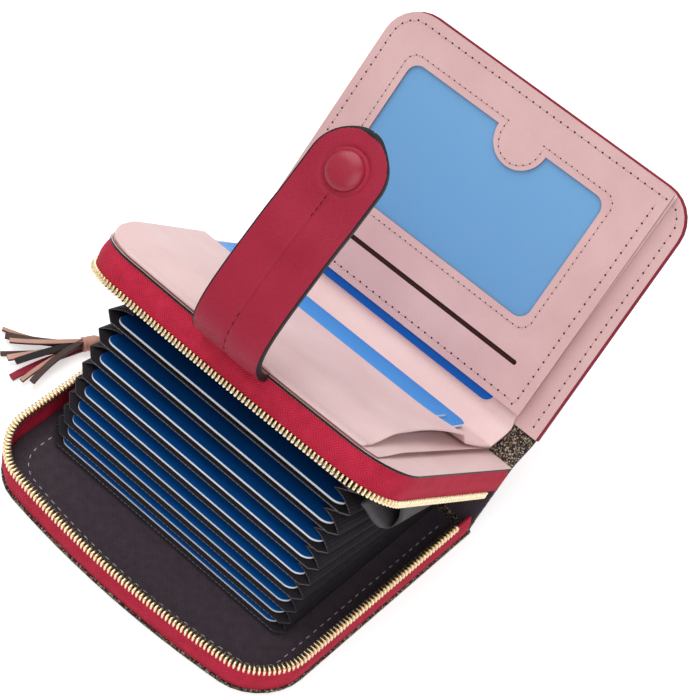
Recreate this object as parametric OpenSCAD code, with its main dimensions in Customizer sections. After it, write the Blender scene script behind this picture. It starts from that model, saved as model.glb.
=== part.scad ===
// Compact bifold wallet with a zip-around accordion compartment, lying open.
// X runs along the wallet, the spine is at the rear (+Y) and +Z is up.
// Every piece is drawn as in the closed wallet and then turned open about its own fold.

/* [Leaves] */
// Length of the leaves along the spine
leaf_l = 112; // [106:1:120]
// Depth of the leaves from the spine to the front corners
leaf_w = 90.5; // [88:0.5:96]
// Radius of the front corners
corner_r = 15; // [10:1:20]
// How far the lower leaf bulges forward at mid length
base_bow = 5; // [3:0.5:6]
// How far the middle leaf bulges forward at mid length
leaf_bow = 2.5; // [1.5:0.5:3]
// Thickness of the outer cover
cover_t = 1.2; // [1:0.1:1.6]
// Thickness of the dark lining on the lower leaf
lining_t = 0.8; // [0.6:0.1:1]
// Thickness of the stiffener under the middle leaf
board_t = 1.2; // [1:0.1:1.6]
// Thickness of the pale leather on the middle leaf
pale_t = 0.8; // [0.6:0.1:1]

/* [Zip] */
// Height of the zip tape on the lower leaf
lower_tape_h = 8.2; // [7:0.2:9]
// Thickness of the zip tapes
tape_t = 0.8; // [0.6:0.1:1]
// Setback of the zip tapes from the edge of the cover
tape_inset = 0.6; // [0.4:0.1:0.8]
// Distance from one tooth to the next
tooth_spacing = 2.3; // [2.1:0.1:3]
// Length of one tooth along the row
tooth_l = 1.15; // [1:0.05:1.4]
// Width of one tooth across the tape
tooth_w = 2.4; // [2:0.1:2.6]
// Height of one tooth
tooth_h = 2.2; // [1.8:0.1:2.4]
// Space between the two rows when the wallet is shut but not zipped
zip_gap = 2.2; // [2.1:0.1:3]
// Distance from the spine to the last tooth of a row
row_end = 9; // [8:1:14]

/* [Accordion] */
// Number of card pockets in the accordion
pockets = 9; // [9:1:9]
// Thickness of one divider
divider_t = 0.5; // [0.4:0.05:0.6]
// Free space above and below a card in its pocket
pocket_gap = 0.4; // [0.35:0.05:0.5]
// Depth of the dividers from the spine
divider_w = 72.5; // [70:0.5:74]
// Margin of the dividers at the left of the cards
margin_left = 5; // [4:0.2:5]
// Margin of the dividers at the right of the cards
margin_right = 3.3; // [3:0.1:4]
// Shift of the accordion to the left of the middle
pocket_shift = 2.4; // [1.6:0.2:2.8]
// Depth of a side pleat
pleat_depth = 2; // [1.6:0.2:2.2]
// Thickness of the pleated cloth
pleat_t = 0.4; // [0.3:0.05:0.5]

/* [Cards] */
// Length of a card
card_l = 85.6; // [84:0.2:86.4]
// Height of a card
card_w = 54; // [53:0.2:54.6]
// Thickness of a card
card_t = 0.8; // [0.7:0.05:0.9]
// Corner radius of a card
card_r = 3.2; // [2.6:0.2:3.6]

/* [Flap] */
// Length of the front flap along the fold
flap_l = 112; // [105:1:118]
// Depth of the front flap from the fold
flap_w = 88; // [86:0.5:90]
// Radius of the flap's outer corners
flap_r = 12; // [8:1:16]
// Free height of the bill compartment
bill_gap = 1; // [0.8:0.1:1.4]
// Set-back of the bill panel at its open right end
bill_setback = 8.4; // [6:0.4:10]
// Thickness of the leather panels
panel_t = 0.6; // [0.5:0.05:0.7]
// Length of the window
window_l = 74.2; // [70:0.4:76]
// Height of the window
window_w = 42.5; // [38:0.3:43]
// Corner radius of the window
window_r = 4; // [3:0.5:6]
// Radius of the thumb tab that dips into the window
thumb_r = 9; // [7:0.5:10]

/* [Strap] */
// Width of the strap
strap_w = 23; // [21:0.5:26]
// Thickness of the strap
strap_t = 2.2; // [1.8:0.1:2.4]
// Reach of the strap from its root
strap_reach = 67; // [66:0.5:72]
// Height of the strap's crest above its root
strap_crest = 14.4; // [14:0.2:16]
// Radius of the snap's dome
snap_r = 5.6; // [5:0.2:6.4]
// Height of the snap's dome
snap_h = 2.4; // [1.8:0.1:2.8]
// Radius of the stud
stud_r = 3.1; // [2.8:0.1:3.3]

/* [Slider and tassel] */
// Length of the slider
slider_l = 8; // [7:0.5:10]
// Length of the pull tab
pull_l = 13; // [11:0.5:16]
// Length of the tassel's cap
cap_l = 7; // [6:0.5:9]
// Radius of the tassel's cap
cap_r = 2.6; // [2.2:0.1:3]
// Length of the tassel's strands
strand_l = 22; // [18:1:28]
// Number of strands in the tassel
strands = 9; // [7:1:11]

/* [Pose] */
// How far the compartment stands open
leaf_open_angle = 39; // [36:1:48]
// How far the front flap stands open from the middle leaf
flap_open_angle = 90.5; // [86:0.5:110]
// How far the strap stands open from the closed flap
strap_open_angle = 82; // [78:1:100]
// Rise of the lowest divider
fan_low_angle = 0; // [0:0.5:1]
// Rise of the highest divider
fan_high_angle = 28; // [24:1:30]
// How much faster the rise grows towards the top; 1 is even
fan_growth_share = 1.4; // [1:0.1:1.4]

/* [Hidden] */

// Overrun of every cut, and the clearance between pieces that move past each other
over = 1;
clear = 0.3;

// Closed heights, from the table up
lining_top = cover_t + lining_t;
lower_teeth_z = cover_t + lower_tape_h;
lower_row_top = lower_teeth_z + tooth_h;
upper_row_z = lower_row_top + zip_gap;
upper_tape_z = upper_row_z + tooth_h;
level_step = divider_t + card_t + 2 * pocket_gap;
fan_z = lining_top + pocket_gap;
board_z = fan_z + pockets * level_step + divider_t + pocket_gap;
pale_z = board_z + board_t;
leaf_top = pale_z + pale_t;
upper_tape_h = pale_z - upper_tape_z;

// Stack on the middle leaf: bill compartment, its panel, the pocket sheet, two cards, the sheet again
snug = 0.05;
rear_sheet_h = bill_gap + panel_t;
slot_card_h = rear_sheet_h + panel_t + snug;
front_sheet_h = slot_card_h + 2 * (card_t + snug);
fold_z = leaf_top + front_sheet_h + panel_t + clear;

// Main fold: the rear lower edge, where the spine meets the lower leaf
hinge_y = 0;
hinge_z = lining_top;
spine_l = leaf_l - 2 * tape_inset;
spine_in = cover_t + panel_t;
seam_gap = clear;

// Colours
crimson = [0.68, 0.14, 0.25];
dusty_pink = [0.87, 0.72, 0.72];
twill = [0.2, 0.17, 0.2];
speckle = [0.25, 0.22, 0.2];
gold = [0.85, 0.66, 0.36];
royal_blue = [0.03, 0.3, 0.62];
sky_blue = [0.42, 0.64, 0.83];
bright_blue = [0.24, 0.6, 0.9];
rose_gold = [0.72, 0.48, 0.42];

// Moves a closed drawing to the middle of the lower leaf
module seat() {
    translate([0, leaf_w / 2, 0]) children();
}

// Turns children about a line along X at (y, z), opening positive
module fold(y, z, angle) {
    translate([0, y, z])
        rotate([-angle, 0, 0])
            translate([0, -y, -z])
                children();
}

module on_leaf() {
    seat() fold(hinge_y, hinge_z, leaf_open_angle) children();
}

module on_flap() {
    on_leaf() fold(hinge_y, fold_z, flap_open_angle) children();
}

// Sides of the three-sided rail that the zip follows: right side, front, left side
function side_run(w, r, back) = w - r - back;
function rail_len(l, w, r, back) = 2 * side_run(w, r, back) + PI * r + l - 2 * r;
function rail_right(s, l, back) = [l / 2, -back - s];
function rail_turn_r(s, l, w, r) =
    [l / 2 - r + r * cos(s / r * 180 / PI), -(w - r) - r * sin(s / r * 180 / PI)];
function rail_turn_l(s, l, w, r) =
    [r - l / 2 - r * sin(s / r * 180 / PI), -(w - r) - r * cos(s / r * 180 / PI)];
function rail_straight(s, l, w, r, back) =
    let (a = side_run(w, r, back), b = a + PI * r / 2, c = b + l - 2 * r, d = c + PI * r / 2)
    s <= a ? rail_right(s, l, back)
    : s <= b ? rail_turn_r(s - a, l, w, r)
    : s <= c ? [l / 2 - r - (s - b), -w]
    : s <= d ? rail_turn_l(s - c, l, w, r)
    : [-l / 2, -(w - r) + (s - d)];
// The front bulges most at mid length, and the bulge fades towards the spine
function bulge(p, l, w, bow) =
    [p.x, p.y - bow * (1 - pow(2 * p.x / l, 2)) * pow(p.y / w, 2)];
function rail(s, l, w, r, back, bow) = bulge(rail_straight(s, l, w, r, back), l, w, bow);

turn_steps = 7;
front_steps = 12;
function rail_stops(l, w, r, back) =
    let (a = side_run(w, r, back), q = PI * r / 2, f = l - 2 * r)
    concat([0],
        [for (i = [0:turn_steps]) a + q * i / turn_steps],
        [for (i = [1:front_steps - 1]) a + q + f * i / front_steps],
        [for (i = [0:turn_steps]) a + q + f + q * i / turn_steps],
        [rail_len(l, w, r, back)]);
function rail_points(l, w, r, back, bow) =
    [for (s = rail_stops(l, w, r, back)) rail(s, l, w, r, back, bow)];
function reversed(v) = [for (i = [len(v) - 1:-1:0]) v[i]];

// Outline of a leaf drawn in by inset on its three free sides
module leaf_outline(l, w, r, bow, inset, back) {
    polygon(rail_points(l - 2 * inset, w - inset, r - inset, back, bow));
}

// Wall of thickness t that follows the three free sides
module rail_band(l, w, r, bow, inset, t, back) {
    outer = rail_points(l - 2 * inset, w - inset, r - inset, back, bow);
    inner = rail_points(l - 2 * (inset + t), w - inset - t, r - inset - t, back, bow);
    polygon(concat(outer, reversed(inner)));
}

// One metal tooth: foot on the tape, head rounded off towards the other row
tooth_neck_share = 0.6;
tooth_tip_share = 0.55;
module tooth() {
    half = tooth_w / 2;
    tip = half * tooth_tip_share;
    rotate([90, 0, 90])
        translate([0, 0, -tooth_l / 2])
            linear_extrude(tooth_l)
                polygon([[-half, 0], [half, 0], [half, tooth_h * tooth_neck_share], [tip, tooth_h],
                         [-tip, tooth_h], [-half, tooth_h * tooth_neck_share]]);
}

// Row of teeth along the middle of a tape; phase shifts it along the rail in pitches
module tooth_row(bow, phase) {
    inset = tape_inset + tape_t / 2;
    l = leaf_l - 2 * inset;
    w = leaf_w - inset;
    r = corner_r - inset;
    run = rail_len(l, w, r, row_end);
    count = floor(run / tooth_spacing - phase);
    for (k = [0:count - 1]) {
        s = (k + 0.5 + phase) * tooth_spacing;
        p = rail(s - tooth_l / 2, l, w, r, row_end, bow);
        q = rail(s + tooth_l / 2, l, w, r, row_end, bow);
        translate([(p.x + q.x) / 2, (p.y + q.y) / 2, 0])
            rotate([0, 0, atan2(q.y - p.y, q.x - p.x)])
                tooth();
    }
}

// Lower leaf
module back_cover() {
    color(speckle)
        seat()
            linear_extrude(cover_t)
                leaf_outline(leaf_l, leaf_w, corner_r, base_bow, 0, 0);
}

module back_lining() {
    color(twill)
        seat()
            translate([0, 0, cover_t])
                linear_extrude(lining_t)
                    leaf_outline(leaf_l, leaf_w, corner_r, base_bow, tape_inset + tape_t, spine_in + clear);
}

module lower_zip_tape() {
    color(crimson)
        seat()
            translate([0, 0, cover_t])
                linear_extrude(lower_tape_h)
                    rail_band(leaf_l, leaf_w, corner_r, base_bow, tape_inset, tape_t, spine_in + clear);
}

module lower_zip_teeth() {
    color(gold)
        seat()
            translate([0, 0, lower_teeth_z])
                tooth_row(base_bow, 0);
}

// Middle leaf with the spine
spine_top = leaf_top;
module spine_cover() {
    color(speckle)
        on_leaf()
            translate([-spine_l / 2, -cover_t, hinge_z + seam_gap])
                cube([spine_l, cover_t, spine_top - hinge_z - seam_gap]);
}

module spine_lining() {
    color(twill)
        on_leaf()
            translate([-spine_l / 2, -spine_in, hinge_z + seam_gap + panel_t])
                cube([spine_l, panel_t, board_z - hinge_z - seam_gap - panel_t]);
}

module leaf_board() {
    color(twill)
        on_leaf()
            translate([0, 0, board_z])
                linear_extrude(board_t)
                    leaf_outline(leaf_l, leaf_w, corner_r, leaf_bow, tape_inset + tape_t, cover_t);
}

module leaf_lining() {
    color(dusty_pink)
        on_leaf()
            translate([0, 0, pale_z])
                linear_extrude(pale_t)
                    leaf_outline(leaf_l, leaf_w, corner_r, leaf_bow, tape_inset / 2, cover_t);
}

module upper_zip_tape() {
    color(crimson)
        on_leaf()
            translate([0, 0, upper_tape_z])
                linear_extrude(upper_tape_h)
                    rail_band(leaf_l, leaf_w, corner_r, leaf_bow, tape_inset, tape_t, spine_in + clear);
}

module upper_zip_teeth() {
    color(gold)
        on_leaf()
            translate([0, 0, upper_tape_z])
                mirror([0, 0, 1])
                    tooth_row(leaf_bow, 0.5);
}

// Bill compartment on the middle leaf: a sheet that stands off the pale leather
bill_left = flap_l / 2 - tape_inset;
bill_l = flap_l - tape_inset - bill_setback;
bill_hem = 3;
bill_front = leaf_w - tape_inset;
slot_x = -7.6;
slot_1_y = -10;
slot_2_y = -15;
slot_tilt_angle = 2;
slot_front = card_w - slot_2_y + card_l / 2 * sin(slot_tilt_angle);
bill_ramp = bill_front - bill_hem - slot_front - clear;
fold_back = 5;
ramp_steps = 6;
// Side view of a sheet: low at the hem, up a smooth ramp, then level
function swell(share) = (1 - cos(180 * share)) / 2;
function ramp(y, run, low, high) =
    [for (i = [0:ramp_steps]) [y + run * i / ramp_steps, low + (high - low) * swell(i / ramp_steps)]];
function lifted(line, rise) = [for (p = line) [p.x, p.y + rise]];
function hem_line(low, high) =
    concat([[-bill_front - leaf_bow, low]], ramp(bill_hem - bill_front, bill_ramp, low, high));

// Extrudes a side view (y, z) along the wallet from x0 over a length
module along(x0, length) {
    translate([x0, 0, 0])
        rotate([90, 0, 90])
            linear_extrude(length)
                children();
}

// A sheet of the middle leaf, cut to the outline of the leaf
module leaf_sheet(line) {
    intersection() {
        along(-bill_left, bill_l)
            translate([0, leaf_top])
                polygon(concat(line, reversed(lifted(line, panel_t))));
        translate([0, 0, leaf_top - over])
            linear_extrude(front_sheet_h + panel_t + 2 * over)
                leaf_outline(leaf_l, leaf_w, corner_r, leaf_bow, tape_inset, 0);
    }
}

module bill_panel() {
    color(dusty_pink)
        on_leaf()
            leaf_sheet(concat(hem_line(0, bill_gap), [[-fold_back, bill_gap]]));
}

// Pocket sheet: raised over the cards, down again towards the fold, with a slot that the cards come out of
pocket_mouth = 30;
mouth_ramp = 5;
slot_margin = 0.8;
slot_shift = 4;
module leaf_pocket() {
    mouth = ramp(-pocket_mouth, mouth_ramp, front_sheet_h, rear_sheet_h);
    line = concat(hem_line(panel_t, front_sheet_h), mouth, [[-fold_back, rear_sheet_h]]);
    slot_l = card_l + slot_shift + 2 * slot_margin;
    color(dusty_pink)
        on_leaf()
            difference() {
                leaf_sheet(line);
                translate([slot_x + (slot_shift - slot_l) / 2, -pocket_mouth, leaf_top])
                    cube([slot_l, mouth_ramp, front_sheet_h + panel_t + over]);
            }
}

// Flat card with rounded corners, its near edge towards the spine at y
module card(x, y, z) {
    translate([x - card_l / 2 + card_r, y - card_r, z])
        linear_extrude(card_t)
            card_outline();
}

module card_outline() {
    l = card_l - 2 * card_r;
    w = card_w - 2 * card_r;
    union() {
        translate([-card_r, -w]) square([card_l, w]);
        translate([0, -w - card_r]) square([l, card_w]);
        for (x = [0, l], y = [0, -w]) translate([x, y]) circle(r = card_r, $fn = 32);
    }
}

module slot_card_1() {
    color(bright_blue) on_leaf() card(slot_x + slot_shift, slot_1_y, leaf_top + slot_card_h);
}

module slot_card_2() {
    color(bright_blue)
        on_leaf()
            translate([slot_x, slot_2_y, 0])
                rotate([0, 0, -slot_tilt_angle])
                    card(0, 0, leaf_top + slot_card_h + card_t + snug);
}

// Front flap, drawn closed over the middle leaf with its inner face down
flap_in = fold_z;
film_t = 0.2;
film_z = flap_in + panel_t;
id_z = film_z + film_t + snug;
flap_bill_z = id_z + card_t + snug;
flap_bill_gap = 0.4;
flap_lining_z = flap_bill_z + panel_t + flap_bill_gap;
flap_cover_z = flap_lining_z + panel_t;
flap_top = flap_cover_z + cover_t;
flap_back = 5;

// Folds: leather that bends between the spine and the flap, drawn as it lies in the open wallet
function unit(v) = v / norm(v);
function bezier(t, a, b, c, d) =
    pow(1 - t, 3) * a + 3 * pow(1 - t, 2) * t * b + 3 * (1 - t) * t * t * c + pow(t, 3) * d;
function normal_at(line, i) =
    let (a = line[max(i - 1, 0)], b = line[min(i + 1, len(line) - 1)], d = unit(b - a)) [-d.y, d.x];
function offset_line(line, h) = [for (i = [0:len(line) - 1]) line[i] + h * normal_at(line, i)];
function band(line, t) = concat(offset_line(line, t / 2), reversed(offset_line(line, -t / 2)));
// A point (y, z) of the closed wallet, turned open about c by an angle
function turned(p, c, angle) =
    let (d = p - c)
    [c.x + d.x * cos(angle) + d.y * sin(angle), c.y - d.x * sin(angle) + d.y * cos(angle)];
function flap_point(y, z) = turned([y, z], [hinge_y, fold_z], flap_open_angle);
flap_heading = [-cos(flap_open_angle), sin(flap_open_angle)];
fold_steps = 12;
fold_lead = 0.4;
fold_pull_share = 0.3;
// Leaves a first face square to heading, bends, and meets a second face square to the flap
function fold_line(face, heading, bend, end) =
    let (start = face + fold_lead * heading, stop = end - fold_lead * flap_heading)
    let (pull = fold_pull_share * norm(stop - start), b = start + pull * bend, c = stop - pull * flap_heading)
    concat([face + snug * heading],
           [for (i = [0:fold_steps]) bezier(i / fold_steps, start, b, c, stop)],
           [end - snug * flap_heading]);

module cover_fold() {
    line = fold_line([-cover_t / 2, spine_top], [0, 1], [0, 1], flap_point(-flap_back, flap_cover_z + cover_t / 2));
    color(speckle) on_leaf() along(-spine_l / 2, spine_l) polygon(band(line, cover_t));
}

module lining_fold() {
    face = [-fold_back, leaf_top + rear_sheet_h + panel_t / 2];
    line = fold_line(face, [1, 0], unit([1, 2]), flap_point(-flap_bill_back, flap_bill_z + panel_t / 2));
    color(dusty_pink) on_leaf() along(-bill_left, bill_l) polygon(band(line, panel_t));
}

module flap_plate(z, t, inset, back) {
    translate([0, 0, z])
        linear_extrude(t)
            leaf_outline(flap_l, flap_w, flap_r, 0, inset, back);
}

module front_cover() {
    color(crimson) on_flap() flap_plate(flap_cover_z, cover_t, 0, flap_back);
}

module flap_lining() {
    color(dusty_pink) on_flap() flap_plate(flap_lining_z, panel_t, tape_inset, flap_back);
}

// The part of a flap plate that stops short of the right end by setback
module set_back(setback) {
    intersection() {
        children();
        translate([-flap_l / 2 - over, -flap_w - over, 0])
            cube([flap_l + over - setback, flap_w + 2 * over, flap_top + over]);
    }
}

flap_bill_back = 4;
module flap_bill_panel() {
    color(dusty_pink)
        on_flap()
            set_back(bill_setback)
                flap_plate(flap_bill_z, panel_t, tape_inset, flap_bill_back);
}

window_x = -4.8;
thumb_x = 0.4;
window_low = 31.1;
id_back = 8.2;
slit_y = 20;
slit_l = 84;
slit_w = 1.5;
module window_cut() {
    l = window_l - 2 * window_r;
    w = window_w - 2 * window_r;
    translate([window_x, -window_low - window_w / 2])
        difference() {
            union() {
                square([window_l, w], center = true);
                square([l, window_w], center = true);
                for (x = [-l, l], y = [-w, w]) translate([x / 2, y / 2]) circle(r = window_r, $fn = 32);
            }
            translate([thumb_x - window_x, -window_w / 2]) circle(r = thumb_r, $fn = 48);
        }
}

module slit_cut() {
    translate([window_x + slit_w / 2, -slit_y]) {
        square([slit_l - slit_w, slit_w], center = true);
        for (x = [-1, 1]) translate([x * (slit_l - slit_w) / 2, 0]) circle(d = slit_w, $fn = 24);
    }
}

module id_panel() {
    color(dusty_pink)
        on_flap()
            difference() {
                set_back(bill_setback) flap_plate(flap_in, panel_t, tape_inset, id_back);
                translate([0, 0, flap_in - over])
                    linear_extrude(panel_t + 2 * over) {
                        window_cut();
                        slit_cut();
                    }
            }
}

film_margin = 3;
module id_window() {
    color([0.9, 0.95, 1, 0.35])
        on_flap()
            translate([window_x - window_l / 2 - film_margin, -window_low - window_w - film_margin, film_z])
                cube([window_l + 2 * film_margin, window_w + 2 * film_margin, film_t]);
}

id_card_low = 25.5;
module id_card() {
    color(sky_blue) on_flap() card(window_x, -id_card_low, id_z);
}

module slot_card_3_outline() {
    translate([window_x - card_l / 2 + card_r, -card_r]) card_outline();
}

slot_3_low = 5.4;
slot_3_w = 19.5;
module slot_card_3() {
    color(royal_blue)
        on_flap()
            translate([0, -slot_3_low, id_z])
                linear_extrude(card_t)
                    intersection() {
                        slot_card_3_outline();
                        translate([window_x - card_l / 2 - over, -slot_3_w])
                            square([card_l + 2 * over, slot_3_w + over]);
                    }
}

// Strap: closed it rises round the flap's edge and runs back over it to the stud
strap_y = -(leaf_w + leaf_bow + clear + strap_t / 2);
strap_z = leaf_top - pale_t / 2;
crest_run = 30;
strap_end_h = 13.6;
strap_foot = -1.8;
strap_shoulder = 10.4;
strap_x = 0.8;
crest_back = 12;
snap_run = strap_reach - strap_w / 2;
module on_strap() {
    on_leaf() fold(strap_y, strap_z, -strap_open_angle) children();
}

strap_steps = 14;
function strap_rise(t) =
    bezier(t, [0, 0], [strap_foot, strap_crest], [strap_shoulder, strap_crest], [crest_run, strap_crest]);
flat_run = snap_run - snap_r - clear;
function strap_run(t) =
    bezier(t, [crest_run, strap_crest], [crest_run + crest_back, strap_crest],
           [flat_run - crest_back, strap_end_h], [flat_run, strap_end_h]);
strap_steps_root = 8;
strap_line = concat(
    [for (i = [0:strap_steps]) strap_rise(i / strap_steps)],
    [for (i = [1:strap_steps]) strap_run(i / strap_steps)],
    [[flat_run + clear, strap_end_h], [strap_reach, strap_end_h]]);

root_heading = unit(strap_line[1] - strap_line[0]);
root_normal = [-root_heading.y, root_heading.x];
root_round = [for (i = [1:strap_steps_root - 1])
    let (a = 180 * i / strap_steps_root) -strap_t / 2 * (cos(a) * root_normal + sin(a) * root_heading)];

module strap() {
    color(crimson)
        on_strap()
            translate([strap_x, strap_y, strap_z])
                intersection() {
                    along(-strap_w / 2, strap_w)
                        polygon(concat(band(strap_line, strap_t), root_round));
                    translate([0, 0, -strap_t])
                        linear_extrude(strap_crest + 2 * strap_t)
                            strap_plan();
                }
}

module strap_plan() {
    translate([-strap_w / 2, -strap_w / 2]) square([strap_w, snap_run + strap_w / 2]);
    translate([0, snap_run]) circle(d = strap_w, $fn = 64);
}

module at_snap(height) {
    translate([strap_x, strap_y + snap_run, height]) children();
}

// Dome as a revolved circular arc of the given radius and height
module dome(r, h) {
    big = (r * r + h * h) / (2 * h);
    rotate_extrude($fn = 48)
        intersection() {
            translate([0, h - big]) circle(r = big, $fn = 96);
            square([r, h]);
        }
}

strap_face = strap_z + strap_end_h + strap_t / 2;
module snap_cap() {
    color(crimson) on_strap() at_snap(strap_face) dome(snap_r, snap_h);
}

socket_h = 1.6;
socket_wall = 1.4;
stud_clear = 0.5;
module snap_socket() {
    color(gold)
        on_strap()
            at_snap(strap_face - strap_t - socket_h)
                difference() {
                    cylinder(r = stud_r + stud_clear + socket_wall, h = socket_h, $fn = 48);
                    translate([0, 0, -over])
                        cylinder(r = stud_r + stud_clear, h = socket_h + 2 * over, $fn = 48);
                }
}

stud_h = 1.4;
stud_base_h = 0.5;
module snap_stud() {
    color(gold)
        on_flap()
            at_snap(flap_top)
                union() {
                    cylinder(r = stud_r, h = stud_base_h, $fn = 48);
                    translate([0, 0, stud_base_h]) dome(stud_r - clear, stud_h - stud_base_h);
                }
}

// Slider: a saddle over the lower row on the left side, with a staple for the pull tab
row_x = -(leaf_l / 2 - tape_inset - tape_t / 2);
slider_y = -(row_end + slider_l);
plate_t = 0.9;
saddle_in = tooth_w / 2 + clear;
saddle_out = saddle_in + plate_t;
saddle_low = lower_teeth_z - clear - plate_t;
saddle_top = lower_row_top + clear;
staple_reach = 2.8;
pin_r = 0.6;
pin_x = row_x - saddle_out - staple_reach + pin_r;

module zip_slider() {
    color(gold)
        seat()
            translate([row_x, slider_y - slider_l / 2, 0]) {
                for (side = [-1, 1]) {
                    inner = side < 0 ? -saddle_out : saddle_in;
                    translate([inner, 0, saddle_low])
                        cube([plate_t, slider_l, saddle_top + plate_t - saddle_low]);
                    lip = side < 0 ? -saddle_in : tape_t / 2 + clear;
                    translate([lip, 0, saddle_low])
                        cube([saddle_in - tape_t / 2 - clear, slider_l, plate_t - clear]);
                }
                translate([-saddle_out, 0, saddle_top])
                    cube([2 * saddle_out, slider_l, plate_t]);
                staple();
            }
}

module staple() {
    arm = 2 * pin_r;
    for (z = [saddle_low, saddle_top + plate_t - arm])
        translate([-saddle_out - staple_reach, slider_l / 2 - arm / 2, z])
            cube([staple_reach, arm, arm]);
    translate([pin_x - row_x, slider_l / 2, saddle_low])
        cylinder(r = pin_r, h = saddle_top + plate_t - saddle_low, $fn = 24);
}

// Pull tab: an eye on the pin, and a bar that slopes down to the table
pull_yaw_angle = 13;
tassel_yaw_angle = 28;
eye_wall = 0.9;
eye_r = pin_r + clear + eye_wall;
eye_h = 1.4;
eye_z = (saddle_low + saddle_top + plate_t - eye_h) / 2;
pull_w = 3.6;
pull_t = 0.8;
ring_wire = 0.5;
ring_r = 2.1;
ring_z = cap_r + clear;
pull_hole_r = ring_wire + 2 * clear;
pull_slope_angle = atan2(eye_z + eye_h / 2 - ring_z, pull_l);

module on_pull() {
    seat()
        translate([pin_x, slider_y, 0])
            rotate([0, 0, 270 - pull_yaw_angle])
                children();
}

module pull_tab() {
    start = eye_r - eye_wall / 2;
    reach = pull_l / cos(pull_slope_angle);
    color(gold)
        on_pull() {
            translate([0, 0, eye_z])
                difference() {
                    cylinder(r = eye_r, h = eye_h, $fn = 32);
                    translate([0, 0, -over]) cylinder(r = pin_r + clear, h = eye_h + 2 * over, $fn = 24);
                }
            translate([0, 0, eye_z + eye_h / 2])
                rotate([0, pull_slope_angle, 0])
                    difference() {
                        translate([0, 0, -pull_t / 2])
                            linear_extrude(pull_t)
                                pull_outline(start, reach);
                        translate([reach, 0, -over]) cylinder(r = pull_hole_r, h = 2 * over, $fn = 24);
                    }
        }
}

module pull_outline(start, reach) {
    neck = pull_w / 2;
    polygon([[start, -neck / 2], [start, neck / 2], [reach / 2, pull_w / 2], [reach, pull_w / 2],
             [reach, -pull_w / 2], [reach / 2, -pull_w / 2]]);
    translate([reach, 0]) circle(d = pull_w, $fn = 32);
}

// Split ring between the pull tab and the tassel, standing on edge
module on_tassel() {
    on_pull()
        translate([pull_l, 0, 0])
            rotate([0, 0, pull_yaw_angle - tassel_yaw_angle])
                children();
}

module tassel_ring() {
    color(gold)
        on_tassel()
            translate([ring_r, 0, ring_z])
                rotate([90, 0, 0])
                    rotate_extrude($fn = 32)
                        translate([ring_r, 0]) circle(r = ring_wire, $fn = 16);
}

cap_start = 2 * ring_r + ring_wire;
cap_waist_share = 0.7;
module tassel_cap() {
    color(rose_gold)
        on_tassel()
            translate([cap_start, 0, ring_z])
                rotate([0, 90, 0])
                    rotate_extrude($fn = 48)
                        polygon([[0, 0], [cap_r * cap_waist_share, 0], [cap_r, cap_r * (1 - cap_waist_share)],
                                 [cap_r, cap_l], [0, cap_l]]);
}

// Strands: flat leather strips that fan out of the cap in three layers
strand_fan_angle = 56;
strand_w = 2.6;
strand_layers = 3;
strand_t = 2 * cap_r / strand_layers;
module tassel_strands() {
    color(rose_gold)
        on_tassel()
            translate([cap_start + cap_l + snug, 0, clear]) {
                root = strand_w / 2 * sin(strand_fan_angle / 2);
                for (k = [0:strands - 1]) {
                    swing = strand_fan_angle * (k / (strands - 1) - 1 / 2);
                    layer = k % strand_layers;
                    translate([0, 0, layer * strand_t])
                        rotate([0, 0, swing])
                            translate([root, -strand_w / 2, 0])
                                cube([strand_l - root, strand_w, strand_t]);
                }
                translate([0, -strand_w / 2, 0]) cube([strand_w, strand_w, 2 * cap_r]);
            }
}

// Accordion: each divider turns about its own seam on the spine
divider_y = -(spine_in + clear);
function divider_z(i) = fan_z + i * level_step;
function fan_angle(i) = fan_low_angle + (fan_high_angle - fan_low_angle) * pow(i / pockets, fan_growth_share);
module on_divider(i) {
    on_leaf()
        fold(divider_y, divider_z(i) + divider_t / 2, fan_angle(i) - leaf_open_angle)
            children();
}

divider_left = card_l / 2 + margin_left;
divider_right = card_l / 2 + margin_right;
left_slant_share = 0.06;
right_slant_share = 0.03;
module divider(i) {
    slant_in = margin_left - divider_t;
    nip = divider_w * right_slant_share;
    color(twill)
        on_divider(i)
            translate([-pocket_shift, 0, divider_z(i)])
                linear_extrude(divider_t)
                    polygon([[-divider_left, divider_y], [-divider_left, -divider_w * (1 - left_slant_share)],
                             [slant_in - divider_left, -divider_w], [divider_right - nip, -divider_w],
                             [divider_right, nip - divider_w], [divider_right, divider_y]]);
}

card_proud = 1;
module pocket_card(i) {
    level = pockets - i;
    color(royal_blue)
        on_divider(level)
            card(-pocket_shift, card_w + card_proud - divider_w, divider_z(level) + divider_t + pocket_gap);
}

// A point on divider i of the open fan, at depth r from its seam, in the (y, z) plane
function seam_point(i) =
    turned([divider_y, divider_z(i) + divider_t / 2], [hinge_y, hinge_z], leaf_open_angle);
function fan_point(i, r) =
    seam_point(i) + r * [-cos(fan_angle(i)), sin(fan_angle(i))];

// Pleats: cloth that rises from the lower lining round the dividers' edges, folded inwards between them
pleat_front_share = 0.8;
pleat_rear = 5;
pleat_front = divider_w * pleat_front_share;
pleat_rear_share = 0.35;
pleat_stand_share = 0.35;
function pleat_column(r, depth, grow) =
    [for (i = [-1:2 * pockets])
        let (low = fan_point(max(0, floor(i / 2)), r), high = fan_point(max(0, ceil(i / 2)), r), mid = (low + high) / 2)
        [clear + depth * (pleat_stand_share - (i > 0 ? i % 2 : 0)) + grow, mid.x, i < 0 ? lining_top + clear : mid.y]];
function quad(a, b, c, d) = [[a, b, c], [a, c, d]];
function flatten(v) = [for (a = v, b = a) b];

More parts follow.
